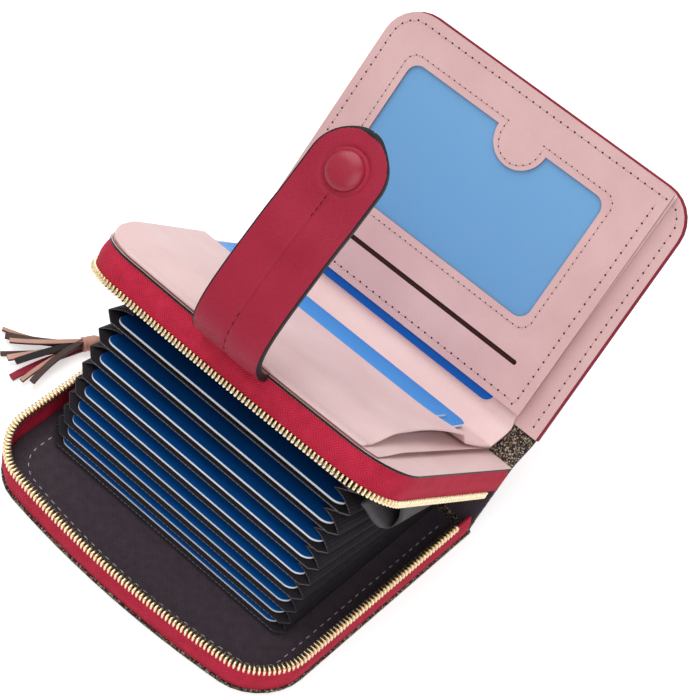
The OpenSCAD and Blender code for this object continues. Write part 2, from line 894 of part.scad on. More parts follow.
// Cloth between a near and a far column of points, each given for both faces
module cloth(near, near_out, far, far_out) {
    n = len(near);
    points = concat(near, near_out, far, far_out);
    walls = flatten([for (k = [0:n - 2]) concat(
        quad(k, k + 1, n + k + 1, n + k),
        quad(2 * n + k, 3 * n + k, 3 * n + k + 1, 2 * n + k + 1),
        quad(k, 2 * n + k, 2 * n + k + 1, k + 1),
        quad(n + k, n + k + 1, 3 * n + k + 1, 3 * n + k))]);
    ends = concat(quad(0, n, 3 * n, 2 * n),
                  quad(n - 1, 3 * n - 1, 4 * n - 1, 2 * n - 1));
    polyhedron(points, concat(walls, ends));
}

module pleats() {
    rear_depth = pleat_depth * pleat_rear_share;
    cloth(pleat_column(pleat_front, pleat_depth, 0), pleat_column(pleat_front, pleat_depth, pleat_t),
          pleat_column(pleat_rear, rear_depth, 0), pleat_column(pleat_rear, rear_depth, pleat_t));
}

module left_pleats() {
    color(twill)
        seat()
            translate([-pocket_shift - divider_left, 0, 0])
                mirror([1, 0, 0])
                    pleats();
}

module right_pleats() {
    color(twill)
        seat()
            translate([divider_right - pocket_shift, 0, 0])
                pleats();
}

// End gussets: cloth that closes the sides of the note compartment between the top divider and the leaf
web_t = 0.5;
web_x = -row_x - saddle_out - clear - web_t;
web_front_share = 0.94;
web_rear_share = 0.42;
web_front = divider_w * web_front_share;
function web_high(r) = turned([-r, upper_tape_z + clear], [hinge_y, hinge_z], leaf_open_angle);
web_lift = [0, 2 * clear];
module left_end_gusset() {
    rear = divider_w * web_rear_share;
    color(twill)
        seat()
            along(-web_x - web_t, web_t)
                polygon([fan_point(pockets, rear) + web_lift, web_high(rear), web_high(web_front),
                         fan_point(pockets, web_front) + web_lift]);
}

// The right one is wider, as the accordion stands to the left, and hangs in a loose bag
bag_drop = 18;
bag_back = 4.5;
bag_rear = 8;
bag_rear_drop = 1.5;
bag_steps = 12;
bag_low_x = divider_right - pocket_shift + clear + pleat_depth * pleat_stand_share + pleat_t + clear;
function bag_column(r, drop, back, grow) =
    let (low = fan_point(pockets, r), high = web_high(r), half = (web_x + web_t - bag_low_x) / 2)
    [for (i = [0:bag_steps])
        let (a = 180 * i / bag_steps, share = (1 - cos(a)) / 2, mid = low + share * (high - low))
        [bag_low_x + half - (half - grow) * cos(a), mid.x + back * sin(a), mid.y - (drop - grow) * sin(a)]];

module right_end_gusset() {
    color(twill)
        seat()
            cloth(bag_column(web_front, bag_drop, bag_back, 0), bag_column(web_front, bag_drop, bag_back, web_t),
                  bag_column(bag_rear, bag_rear_drop, 0, 0), bag_column(bag_rear, bag_rear_drop, 0, web_t));
}

back_cover();
back_lining();
lower_zip_tape();
lower_zip_teeth();
spine_cover();
spine_lining();
leaf_board();
leaf_lining();
upper_zip_tape();
upper_zip_teeth();
bill_panel();
leaf_pocket();
slot_card_1();
slot_card_2();
cover_fold();
lining_fold();
front_cover();
flap_lining();
flap_bill_panel();
id_panel();
id_window();
id_card();
slot_card_3();
snap_stud();
strap();
snap_cap();
snap_socket();
zip_slider();
pull_tab();
tassel_ring();
tassel_cap();
tassel_strands();
left_pleats();
right_pleats();
left_end_gusset();
right_end_gusset();
for (i = [0:9]) divider(i);
for (i = [1:9]) pocket_card(i);
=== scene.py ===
from math import cos, dist, exp, hypot, pi, radians, sin, sqrt
from types import SimpleNamespace as Values

import bmesh
import bpy
from mathutils import Matrix, Vector


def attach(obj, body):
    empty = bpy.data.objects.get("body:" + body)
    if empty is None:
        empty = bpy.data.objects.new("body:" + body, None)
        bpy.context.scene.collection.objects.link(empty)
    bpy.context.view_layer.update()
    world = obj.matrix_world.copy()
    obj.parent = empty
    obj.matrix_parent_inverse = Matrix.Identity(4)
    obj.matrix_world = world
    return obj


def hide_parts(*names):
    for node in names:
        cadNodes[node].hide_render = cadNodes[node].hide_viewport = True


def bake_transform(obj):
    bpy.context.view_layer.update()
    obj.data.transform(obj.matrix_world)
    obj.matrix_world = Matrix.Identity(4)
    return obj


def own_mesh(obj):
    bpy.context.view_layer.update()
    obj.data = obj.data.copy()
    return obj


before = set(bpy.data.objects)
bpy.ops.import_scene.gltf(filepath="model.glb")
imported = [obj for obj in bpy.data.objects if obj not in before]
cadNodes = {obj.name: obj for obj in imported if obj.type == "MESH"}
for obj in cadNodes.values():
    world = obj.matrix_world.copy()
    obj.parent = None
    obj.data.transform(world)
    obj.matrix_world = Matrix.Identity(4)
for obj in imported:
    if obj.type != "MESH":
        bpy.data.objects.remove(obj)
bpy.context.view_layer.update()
scene = bpy.context.scene
print("frame loaded:", len(cadNodes), "nodes")

# Sizes in millimetres and degrees, the same as in the part's source; drawn closed, spine at y 0, front at -y
wallet = {
    "leafLength": 112, "leafDepth": 90.5, "cornerRadius": 15, "baseBow": 5, "leafBow": 2.5,
    "flapLength": 112, "flapDepth": 88, "flapRadius": 12,
    "leafAngle": 39, "flapAngle": 90.5, "strapAngle": 82, "fanAngle": 28, "fanGrowth": 1.4, "pockets": 9,
    "hingeZ": 2.0, "leafTop": 24.2, "flapIn": 29.05, "flapTop": 33.55,
    "levelStep": 2.1, "fanZ": 2.4, "dividerY": -2.1, "dividerThickness": 0.5,
    "strapX": 0.8, "strapY": -94.4, "strapZ": 23.8,
    "pullPlace": (-59.6, -17, 0), "pullAngle": 257, "pullLength": 13, "tasselAngle": -15,
}
w = Values(**wallet)
shift = Matrix.Translation


def foldAbout(y, z, degrees):
    centre = Vector((0, y, z))
    return shift(centre) @ Matrix.Rotation(radians(-degrees), 4, "X") @ shift(-centre)


baseFrame = Matrix.Scale(0.001, 4) @ shift((0, w.leafDepth / 2, 0))
leafFrame = baseFrame @ foldAbout(0, w.hingeZ, w.leafAngle)
flapFrame = leafFrame @ foldAbout(0, w.flapIn, w.flapAngle)
strapFrame = leafFrame @ foldAbout(w.strapY, w.strapZ, -w.strapAngle) @ shift((w.strapX, 0, 0))
pullFrame = baseFrame @ shift(w.pullPlace) @ Matrix.Rotation(radians(w.pullAngle), 4, "Z")
tasselFrame = pullFrame @ shift((w.pullLength, 0, 0)) @ Matrix.Rotation(radians(w.tasselAngle), 4, "Z")
frames = {"lower_leaf": baseFrame, "middle_leaf": leafFrame, "flap": flapFrame, "closing_strap": strapFrame,
          "slider": baseFrame, "pull": pullFrame, "tassel": tasselFrame}


def dividerZ(i):
    return w.fanZ + i * w.levelStep


def dividerMiddle(i):  # height of the middle of a divider, drawn closed
    return dividerZ(i) + w.dividerThickness / 2


def dividerFrame(i):
    fan = w.fanAngle * (i / w.pockets) ** w.fanGrowth
    return leafFrame @ foldAbout(w.dividerY, dividerMiddle(i), fan - w.leafAngle)


for i in range(w.pockets + 1):
    frames[f"leaf_{i}"] = dividerFrame(i)


def turned(point, centre, degrees):  # a point (y, z) turned open about a centre
    a = radians(degrees)
    y, z = point[0] - centre[0], point[1] - centre[1]
    return (centre[0] + y * cos(a) + z * sin(a), centre[1] - y * sin(a) + z * cos(a))


def flapPoint(y, z):
    return turned((y, z), (0, w.flapIn), w.flapAngle)


def swell(share):  # 0 to 1 with a soft start and end
    return (1 - cos(pi * min(1, max(0, share)))) / 2


def bezier(t, a, b, c, d):
    k = ((1 - t) ** 3, 3 * (1 - t) ** 2 * t, 3 * (1 - t) * t * t, t ** 3)
    return tuple(k[0] * p + k[1] * q + k[2] * r + k[3] * s for p, q, r, s in zip(a, b, c, d))


def halfWidth(depth, length, deep, radius):  # half the width of a leaf at a depth, less at its rounded corner
    over = depth - (deep - radius)
    return length / 2 - (0 if over <= 0 else radius - sqrt(max(0, radius * radius - over * over)))


def bulged(x, y, length, deep, bow):
    return y - bow * max(0, 1 - (2 * x / length) ** 2) * (y / deep) ** 2


def railShape(inset, back):  # length, depth, corner radius and rear end of a line that runs inside a leaf's edge
    return w.leafLength - 2 * inset, w.leafDepth - inset, w.cornerRadius - inset, back


def railPoint(s, length, depth, radius, back, bow):  # runs down the right side, along the front, up the left side
    a, q, f = depth - radius - back, pi * radius / 2, length - 2 * radius
    if s <= a:
        x, y = length / 2, -back - s
    elif s <= a + q:
        t = (s - a) / radius
        x, y = length / 2 - radius + radius * cos(t), -(depth - radius) - radius * sin(t)
    elif s <= a + q + f:
        x, y = length / 2 - radius - (s - a - q), -depth
    elif s <= a + 2 * q + f:
        t = (s - a - q - f) / radius
        x, y = radius - length / 2 - radius * sin(t), -(depth - radius) - radius * cos(t)
    else:
        x, y = -length / 2, -(depth - radius) + (s - a - 2 * q - f)
    return x, bulged(x, y, length, depth, bow)


def railLength(length, depth, radius, back):
    return 2 * (depth - radius - back) + pi * radius + length - 2 * radius


def railPath(shape, bow, z, steps):
    run = railLength(*shape)
    return [(*railPoint(run * k / steps, *shape, bow), z) for k in range(steps + 1)]


def spaced(path, gap):  # points every gap along a path, with the direction there
    stops, total = [0], 0
    for a, b in zip(path, path[1:]):
        total += (Vector(b) - Vector(a)).length
        stops.append(total)
    count = max(1, round(total / gap))
    result, k = [], 0
    for i in range(count):
        s = (i + 0.5) * total / count
        while stops[k + 1] < s:
            k += 1
        a, b = Vector(path[k]), Vector(path[k + 1])
        share = (s - stops[k]) / max(1e-9, stops[k + 1] - stops[k])
        result.append((a.lerp(b, share), (b - a).normalized()))
    return result


def roundedPath(corners, radius, steps=6):  # polyline through corners, each rounded but the two ends
    points = [Vector(corners[0])]
    for before, corner, after in zip(corners, corners[1:], corners[2:]):
        c = Vector(corner)
        a = (Vector(before) - c).normalized() * radius
        b = (Vector(after) - c).normalized() * radius
        for k in range(steps + 1):
            t = pi / 2 * k / steps
            points.append(c + a + b - b * cos(t) - a * sin(t))
    return points + [Vector(corners[-1])]


def dial(node, **values):  # sets a node's sockets; _ stands for a space in a socket's name
    for key, value in values.items():
        node.inputs[key.replace("_", " ")].default_value = value


def addNode(tree, kind, **values):  # set_ marks a property of the node, the rest go to its sockets
    node = tree.nodes.new(kind)
    for key in [key for key in values if key.startswith("set_")]:
        setattr(node, key[4:], values.pop(key))
    dial(node, **values)
    return node


def calc(tree, operation, *values, clamp=False):
    node = addNode(tree, "ShaderNodeMath", set_operation=operation, set_use_clamp=clamp)
    for socket, value in zip(node.inputs, values):
        if isinstance(value, (int, float)):
            socket.default_value = value
        else:
            tree.links.new(value, socket)
    return node.outputs[0]


def weighted(tree, a, shareA, b, shareB):
    return calc(tree, "ADD", calc(tree, "MULTIPLY", a, shareA), calc(tree, "MULTIPLY", b, shareB))


def ribs(tree, value, rate):
    return calc(tree, "ABSOLUTE", calc(tree, "SINE", calc(tree, "MULTIPLY", value, rate)))


def texture(tree, place, kind="Noise", **inputs):
    node = addNode(tree, "ShaderNodeTex" + kind, **inputs)
    tree.links.new(place, node.inputs["Vector"])
    return node


def axes(tree, place):
    split = tree.nodes.new("ShaderNodeSeparateXYZ")
    tree.links.new(place, split.inputs[0])
    return split.outputs


def ramp(tree, value, stops):
    node = tree.nodes.new("ShaderNodeValToRGB")
    elements = node.color_ramp.elements
    while len(elements) < len(stops):
        elements.new(0.5)
    for element, (place, colour) in zip(elements, stops):
        element.position = place
        element.color = (*colour, 1)
    tree.links.new(value, node.inputs[0])
    return node.outputs[0]


def startGroup(name, *values):  # a shared effect: takes a place and values, gives a height and a tone
    group = bpy.data.node_groups.new(name, "ShaderNodeTree")
    group.interface.new_socket(name="Vector", in_out="INPUT", socket_type="NodeSocketVector")
    for label, value in values:
        socket = group.interface.new_socket(name=label, in_out="INPUT", socket_type="NodeSocketFloat")
        socket.default_value = value
    for label in ("Height", "Tone"):
        group.interface.new_socket(name=label, in_out="OUTPUT", socket_type="NodeSocketFloat")
    return group, group.nodes.new("NodeGroupInput")


def endGroup(group, height, tone):
    result = group.nodes.new("NodeGroupOutput")
    group.links.new(height, result.inputs["Height"])
    group.links.new(tone, result.inputs["Tone"])
    return group


def buildLeatherGrain():  # pebbled grain: small cells with a fine roughness and a slow drift of tone
    group, source = startGroup("leatherGrain", ("Cells per mm", 1.6), ("Depth", 1.0))
    place = source.outputs["Vector"]
    cells = texture(group, place, "Voronoi", set_feature="DISTANCE_TO_EDGE", Randomness=0.9)
    drift = texture(group, place, Scale=0.06, Detail=3.0)
    fine = texture(group, place, Scale=4.0, Detail=2.0)
    group.links.new(source.outputs["Cells per mm"], cells.inputs["Scale"])
    pebble = calc(group, "MINIMUM", calc(group, "MULTIPLY", cells.outputs["Distance"], 3.0), 1.0)
    height = calc(group, "MULTIPLY", calc(group, "ADD", pebble, fine.outputs[0]), source.outputs["Depth"])
    return endGroup(group, height, weighted(group, drift.outputs[0], 0.8, pebble, 0.2))


def buildWeave():  # threads that cross; a slant of 1 makes a twill
    group, source = startGroup("plainWeave", ("Threads per mm", 2.0), ("Slant", 0.0))
    x, y = axes(group, source.outputs["Vector"])[:2]
    slanted = calc(group, "ADD", x, calc(group, "MULTIPLY", y, source.outputs["Slant"]))
    turn = calc(group, "MULTIPLY", source.outputs["Threads per mm"], pi)
    height = calc(group, "MULTIPLY", ribs(group, slanted, turn), ribs(group, y, turn))
    return endGroup(group, height, texture(group, source.outputs["Vector"], Scale=0.4, Detail=4.0).outputs[0])


def buildChevron():  # zigzag ribs of a zip tape; x runs along the tape and y across it
    group, source = startGroup("chevronRibs", ("Rib width", 0.9), ("Zigzag", 1.9))
    x, y = axes(group, source.outputs["Vector"])[:2]
    fold = calc(group, "PINGPONG", y, source.outputs["Zigzag"])
    rib = ribs(group, calc(group, "DIVIDE", calc(group, "ADD", x, fold), source.outputs["Rib width"]), pi)
    height = calc(group, "ADD", rib, calc(group, "MULTIPLY", ribs(group, y, 9.0), 0.35))
    drift = texture(group, source.outputs["Vector"], Scale=0.25, Detail=3.0)
    return endGroup(group, height, weighted(group, rib, 0.35, drift.outputs[0], 0.65))


leatherGrain, plainWeave, chevronRibs = buildLeatherGrain(), buildWeave(), buildChevron()


def startFinish(name):
    material = bpy.data.materials.new(name)
    material.use_nodes = True
    tree = material.node_tree
    return material, tree, tree.nodes["Principled BSDF"]


def surfacePlace(tree, space):  # millimetres: the piece's own UV map, or its place in the wallet
    scale = 1000 if space == "Object" else 1
    coordinates = tree.nodes.new("ShaderNodeTexCoord")
    mapping = addNode(tree, "ShaderNodeMapping", Scale=(scale, scale, scale))
    tree.links.new(coordinates.outputs[space], mapping.inputs["Vector"])
    return mapping.outputs[0]


def effect(tree, group, place, **values):
    node = addNode(tree, "ShaderNodeGroup", set_node_tree=group)
    tree.links.new(place, node.inputs["Vector"])
    dial(node, **values)
    return node


def paint(tree, shader, value, stops):
    tree.links.new(ramp(tree, value, stops), shader.inputs["Base Color"])


def roughen(tree, shader, value, swing, low):
    tree.links.new(calc(tree, "MULTIPLY_ADD", value, swing, low), shader.inputs["Roughness"])


def sheen(shader, gloss, roughness, **values):
    dial(shader, Specular_IOR_Level=gloss, Roughness=roughness, **values)


def bump(tree, shader, height, distance, strength=1.0):
    node = addNode(tree, "ShaderNodeBump", Strength=strength, Distance=distance)
    tree.links.new(height, node.inputs["Height"])
    tree.links.new(node.outputs[0], shader.inputs["Normal"])


def leatherFinish(name, low, high, roughness=0.5, cells=2.5, depth=0.00003, coat=0.0, gloss=0.2):
    material, tree, shader = startFinish(name)
    grain = effect(tree, leatherGrain, surfacePlace(tree, "Object"), Cells_per_mm=cells)
    paint(tree, shader, grain.outputs["Tone"], [(0.25, low), (0.75, high)])
    sheen(shader, gloss, roughness, Coat_Weight=coat, Coat_Roughness=0.3)
    roughen(tree, shader, grain.outputs["Tone"], 0.2, roughness - 0.1)
    bump(tree, shader, grain.outputs["Height"], depth)
    return material


def twillFinish(name, dark, pale, roughness=0.9, threads=1.5, gloss=0.3):
    material, tree, shader = startFinish(name)
    weave = effect(tree, plainWeave, surfacePlace(tree, "UV"), Threads_per_mm=threads, Slant=1.0)
    tone = weighted(tree, weave.outputs["Height"], 0.55, weave.outputs["Tone"], 0.45)
    paint(tree, shader, tone, [(0.15, dark), (0.75, pale)])
    sheen(shader, gloss, roughness)
    bump(tree, shader, weave.outputs["Height"], 0.00008)
    return material


def tapeFinish():
    material, tree, shader = startFinish("wovenTape")
    chevron = effect(tree, chevronRibs, surfacePlace(tree, "UV"))
    paint(tree, shader, chevron.outputs["Tone"], [(0.2, (0.37, 0.006, 0.026)), (0.8, (0.60, 0.024, 0.066))])
    sheen(shader, 0.2, 0.75)
    bump(tree, shader, chevron.outputs["Height"], 0.00010)
    return material


def speckleFinish():  # near-black cloth woven with pale and gold flecks
    material, tree, shader = startFinish("speckledCloth")
    flecks = texture(tree, surfacePlace(tree, "Object"), "Voronoi", Scale=2.8, Randomness=1.0)
    split = tree.nodes.new("ShaderNodeSeparateColor")
    tree.links.new(flecks.outputs["Color"], split.inputs[0])
    pale = ramp(tree, split.outputs[0],
                [(0.0, (0.010, 0.008, 0.009)), (0.70, (0.03, 0.022, 0.018)), (0.76, (0.27, 0.21, 0.155)),
                 (1.0, (0.46, 0.40, 0.33))])
    gold = ramp(tree, split.outputs[1], [(0.88, (0, 0, 0)), (0.92, (1, 1, 1))])
    mix = addNode(tree, "ShaderNodeMix", set_data_type="RGBA")
    tree.links.new(gold, mix.inputs[0])
    tree.links.new(pale, mix.inputs[6])
    mix.inputs[7].default_value = (0.26, 0.15, 0.06, 1)
    tree.links.new(mix.outputs[2], shader.inputs["Base Color"])
    sheen(shader, 0.3, 0.75)
    bump(tree, shader, flecks.outputs["Distance"], 0.0002)
    return material


def metalFinish(name, colour, roughness):
    material, tree, shader = startFinish(name)
    wear = texture(tree, surfacePlace(tree, "Object"), Scale=1.4, Detail=5.0).outputs[0]
    paint(tree, shader, wear, [(0.3, tuple(c * 0.72 for c in colour)), (0.6, colour)])
    roughen(tree, shader, wear, 0.2, roughness - 0.1)
    dial(shader, Metallic=1.0)
    bump(tree, shader, wear, 0.00004)
    return material


def cardFinish(name, near, far, roughness=0.4, span=(0, 54)):  # plastic card, its tone shifts across the span; on the royal cards the darker far end is painted shade
    material, tree, shader = startFinish(name)
    place = surfacePlace(tree, "UV")
    y = axes(tree, place)[1]
    share = calc(tree, "DIVIDE", calc(tree, "SUBTRACT", y, span[0]), span[1] - span[0], clamp=True)
    cloud = texture(tree, place, Scale=0.05, Detail=2.0)
    tone = calc(tree, "ADD", share, calc(tree, "MULTIPLY_ADD", cloud.outputs[0], 0.3, -0.15), clamp=True)
    paint(tree, shader, tone, [(0.0, near), (1.0, far)])
    scuff = texture(tree, place, Scale=1.2, Detail=6.0).outputs[0]
    sheen(shader, 0.3, roughness)
    roughen(tree, shader, scuff, 0.25, roughness - 0.12)
    bump(tree, shader, scuff, 0.00002)
    return material


def threadFinish(name, colour):
    material, tree, shader = startFinish(name)
    twist = texture(tree, surfacePlace(tree, "Object"), "Wave", Scale=3.0, Distortion=2.0).outputs["Fac"]
    paint(tree, shader, twist, [(0.2, tuple(c * 0.8 for c in colour)), (0.8, colour)])
    sheen(shader, 0.2, 0.7)
    bump(tree, shader, twist, 0.00005)
    return material


def filmFinish():
    material, tree, shader = startFinish("clearFilm")
    ripple = texture(tree, surfacePlace(tree, "UV"), Scale=0.05, Detail=1.0).outputs[0]
    paint(tree, shader, ripple, [(0.3, (0.90, 0.94, 0.98)), (0.7, (0.98, 0.99, 1.0))])
    dial(shader, Roughness=0.15, Alpha=0.04)
    bump(tree, shader, ripple, 0.0003, 0.4)
    return material


finishes = {
    "pink": leatherFinish("pinkLeather", (0.64, 0.395, 0.39), (0.73, 0.485, 0.475), 0.55, 2.2, gloss=0.3),
    # a lighter copy of the pink leather for the leaf's pieces: painted light, where the leaf catches more light than
    # the flap
    "pinkLitCopy": leatherFinish("pinkLeatherLitCopy", (0.745, 0.51, 0.50), (0.83, 0.62, 0.61), 0.5, 2.2, gloss=0.3),
    "pinkEdge": leatherFinish("pinkCutEdge", (0.20, 0.09, 0.085), (0.34, 0.18, 0.17), 0.6),
    "crimson": leatherFinish("crimsonLeather", (0.30, 0.009, 0.030), (0.385, 0.017, 0.050), 0.45, 1.8, 0.00005,
                             coat=0.03, gloss=0.22),
    "crimsonGloss": leatherFinish("pressedCrimson", (0.29, 0.008, 0.026), (0.36, 0.014, 0.040), 0.32, 1.2, 0.00002,
                                  coat=0.35, gloss=0.3),
    "crimsonEdge": leatherFinish("crimsonCutEdge", (0.08, 0.006, 0.012), (0.13, 0.010, 0.02)),
    # black edge paint, also laid on the inside of the right bag as painted shade
    "edgePaint": leatherFinish("blackEdgePaintAndShade", (0.008, 0.007, 0.008), (0.022, 0.018, 0.02)),
    "roseGold": leatherFinish("roseGoldLeather", (0.42, 0.19, 0.13), (0.66, 0.36, 0.27), 0.34, 2.0, 0.00006, 0.3, 0.4),
    "brown": leatherFinish("darkBrownLeather", (0.03, 0.012, 0.008), (0.09, 0.04, 0.03), 0.4, 2.0, 0.00006, gloss=0.4),
    "tape": tapeFinish(),
    "speckle": speckleFinish(),
    "lining": twillFinish("charcoalTwill", (0.028, 0.018, 0.026), (0.085, 0.063, 0.080)),
    "divider": twillFinish("dividerCloth", (0.008, 0.007, 0.010), (0.030, 0.024, 0.032)),
    "satin": twillFinish("greySatin", (0.045, 0.040, 0.045), (0.105, 0.098, 0.105), 0.5, threads=3.0, gloss=0.5),
    "piping": twillFinish("greyCutEdge", (0.05, 0.045, 0.052), (0.13, 0.12, 0.135)),
    "gold": metalFinish("goldPlate", (0.96, 0.79, 0.52), 0.26),
    "bareCard": cardFinish("whiteCardCore", (0.86, 0.87, 0.9), (0.95, 0.95, 0.96), 0.5),
    # royal cards go from royal blue at their front edge to near black deeper in the pocket: painted shade
    "royal": cardFinish("royalBlueCardPaintedShade", (0.002, 0.105, 0.42), (0.0, 0.010, 0.06), span=(-74, -52)),
    "sky": cardFinish("skyBlueCard", (0.108, 0.355, 0.66), (0.082, 0.305, 0.61), span=(-74, -30)),
    "bright": cardFinish("brightBlueCard", (0.035, 0.33, 0.80), (0.02, 0.22, 0.64), span=(-32, -8)),
    "deep": cardFinish("deepBlueCard", (0.0, 0.12, 0.50), (0.0, 0.085, 0.40), span=(-10, -4)),
    "film": filmFinish(),
}
# the darkest colour below is painted shade, for the needle holes and the flap's slit
for name, colour in (("paleThread", (0.84, 0.64, 0.62)), ("whiteThread", (0.70, 0.67, 0.72)),
                     ("greyThread", (0.28, 0.26, 0.30)), ("crimsonThread", (0.16, 0.008, 0.018)),
                     ("holeShade", (0.075, 0.026, 0.026))):
    finishes[name] = threadFinish(name, colour)
print("finishes built:", len(finishes))

# flatArea in m2 keeps large flat faces unsmoothed, merge in m joins a solid's corners
craftLook = {"flatArea": 2e-6, "merge": 2e-6, "edgeAngle": 50, "edgeSegments": 2, "upright": 0.9, "liftSteps": 6}
craft = Values(**craftLook)


def addObject(name, data):
    thing = bpy.data.objects.new(name, data)
    scene.collection.objects.link(thing)
    return thing


def mappedSheet(columns, rows, place, span):  # a grid laid over a curved surface; its UV map is in millimetres
    bm = bmesh.new()
    bmesh.ops.create_grid(bm, x_segments=columns, y_segments=rows, size=0.5)
    surface = bm.loops.layers.uv.new("surface")
    shares = {v: (v.co.x + 0.5, v.co.y + 0.5) for v in bm.verts}
    for face in bm.faces:
        for loop in face.loops:
            u, v = shares[loop.vert]
            loop[surface].uv = (u * span[0], v * span[1])
    for vert, (u, v) in shares.items():
        vert.co = place(u, v)
    return bm


# inner and rim are the places in materials that a thickened sheet's inner side and cut edge take
def finishPiece(name, bm, materials, body, stands=(), thickness=0, inner=0, rim=0, soften=0, bend=None,
                flatBig=False, place=None):
    bm.transform(place or frames[body])
    for face in bm.faces:
        face.smooth = not (flatBig and face.calc_area() > craft.flatArea)
    mesh = bpy.data.meshes.new(name)
    bm.to_mesh(mesh)
    bm.free()
    piece = addObject(name, mesh)
    for material in materials:
        mesh.materials.append(finishes[material])
    if thickness:
        solid = piece.modifiers.new("thickness", "SOLIDIFY")
        solid.thickness, solid.offset = thickness * 0.001, 0
        solid.material_offset, solid.material_offset_rim = inner, rim
    if soften:
        edge = piece.modifiers.new("softEdge", "BEVEL")
        edge.width, edge.segments, edge.limit_method = soften * 0.001, craft.edgeSegments, "ANGLE"
        edge.angle_limit = radians(craft.edgeAngle)
    if bend:
        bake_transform(piece)
    else:
        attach(piece, body)
    if stands:
        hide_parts(*stands)
    return piece


def softened(node, body, width):  # a copy of a CAD piece with its edges rounded; UV map from its closed place
    bm = bmesh.new()
    bm.from_mesh(cadNodes[node].data)
    bmesh.ops.remove_doubles(bm, verts=bm.verts, dist=craft.merge)
    bmesh.ops.dissolve_limit(bm, angle_limit=radians(1), verts=bm.verts, edges=bm.edges)
    sharp = [e for e in bm.edges if e.is_manifold and e.calc_face_angle(0) > radians(craft.edgeAngle)]
    bmesh.ops.bevel(bm, geom=sharp, offset=width * 0.001, offset_type="OFFSET", segments=craft.edgeSegments,
                    profile=0.5, affect="EDGES", clamp_overlap=True, material=-1)
    bm.transform(frames[body].inverted())
    surface = bm.loops.layers.uv.verify()
    for face in bm.faces:
        for loop in face.loops:
            loop[surface].uv = loop.vert.co.xy
    bm.normal_update()
    return bm


# sides puts the second material on the edges; lift bends the piece up over a run that starts at a depth
def softCopy(node, materials, body, width, sides=False, lift=None):
    bm = softened(node, body, width)
    if lift:
        start, run, rise = lift
        for k in range(craft.liftSteps):
            cut = (0, -start + run * k / craft.liftSteps, 0)
            bmesh.ops.bisect_plane(bm, geom=bm.verts[:] + bm.edges[:] + bm.faces[:], plane_co=cut, plane_no=(0, 1, 0))
        for vert in bm.verts:
            vert.co.z += rise * (max(0, start + vert.co.y) / run) ** 1.5
    if sides:
        for face in bm.faces:
            face.material_index = 0 if abs(face.normal.z) > craft.upright else 1
    finishPiece("look_" + node, bm, materials, body, stands=(node,), flatBig=True)


def standing(centre, along, up, size):  # lays a unit shape along a direction and stretches it
    turn = Matrix((along, up.cross(along).normalized(), up)).transposed().to_4x4()
    return shift(centre) @ turn @ Matrix.Diagonal((*size, 1))


def bead(bm, centre, along, up, size):
    place = standing(centre, along, up, size)
    return bmesh.ops.create_icosphere(bm, subdivisions=1, radius=1, matrix=place)["verts"]


stitchLook = {"gap": 2.6, "length": 1.5, "width": 0.34, "height": 0.18, "lift": 0.04, "hole": (0.40, 0.34, 0.07)}


def stitchRow(name, paths, up, thread, slotName, body, **changes):  # threads, and dark beads between them as painted shade in the needle holes
    look = {**stitchLook, **changes}
    bm = bmesh.new()
    up = Vector(up)
    for path in paths:
        for centre, along in spaced(path, look["gap"]):
            raised = up * look["lift"]
            bead(bm, centre + raised, along, up, (look["length"] / 2, look["width"] / 2, look["height"]))
            if look["hole"]:
                verts = bead(bm, centre + along * look["gap"] / 2 + raised, along, up, look["hole"])
                for face in {f for v in verts for f in v.link_faces}:
                    face.material_index = 1
    finishPiece(name, bm, (thread, "holeShade"), body)


# smooth is the power that flattens the bow towards the tape's edges
tapeLook = {
    "inset": 1, "back": 2.1, "thickness": 0.8, "soften": 0.15, "columns": 220, "rows": 8, "smooth": 1.6, "wave": 0.2,
    "waveRate": 0.21,
}
tape = Values(**tapeLook)


def zipTape(name, bow, low, high, sway, body, node):
    shape = railShape(tape.inset, tape.back)
    run = railLength(*shape)

    def onTape(u, v):
        s = u * run
        x, y = railPoint(s, *shape, bow)
        a, b = (Vector(railPoint(min(run, max(0, s + d)), *shape, bow)) for d in (-0.2, 0.2))
        heading = (b - a).normalized()
        puff = sway * max(0, sin(pi * v)) ** tape.smooth
        puff *= 1 - tape.wave + tape.wave * sin(s * tape.waveRate)
        return Vector((x - heading.y * puff, y + heading.x * puff, low + (high - low) * v))

    sheet = mappedSheet(tape.columns, tape.rows, onTape, (run, high - low))
    finishPiece(name, sheet, ("tape",), body, stands=(node,), thickness=tape.thickness,
                soften=tape.soften)


baseLook = {
    "tapeBow": 0.7, "tapeLow": 1.2, "tapeHigh": 9.6, "stitchInset": 7.5, "stitchBack": 6, "liningZ": 2.0,
    "stitch": {"gap": 3.0, "length": 1.9, "width": 0.42, "height": 0.2, "hole": None},
}
base = Values(**baseLook)
zipTape("lowerTape", w.baseBow, base.tapeLow, base.tapeHigh, base.tapeBow, "lower_leaf", "lower_zip_tape")
softCopy("back_cover", ("speckle", "edgePaint"), "lower_leaf", 0.4)
softCopy("back_lining", ("lining",), "lower_leaf", 0.2)
floorPath = railPath(railShape(base.stitchInset, base.stitchBack), w.baseBow, base.liningZ, 160)
stitchRow("floorStitches", [floorPath], (0, 0, 1), "whiteThread", "twill_lining", "lower_leaf", **base.stitch)
for node in ("snap_stud", "snap_socket"):
    mesh = cadNodes[node].data
    mesh.materials.clear()
    mesh.materials.append(finishes["gold"])

teethLook = {"pitch": 1.35, "size": (0.72, 2.4, 2.15), "soften": 0.17, "back": 9, "lowerZ": 10.5, "upperZ": 14.9}
teeth = Values(**teethLook)


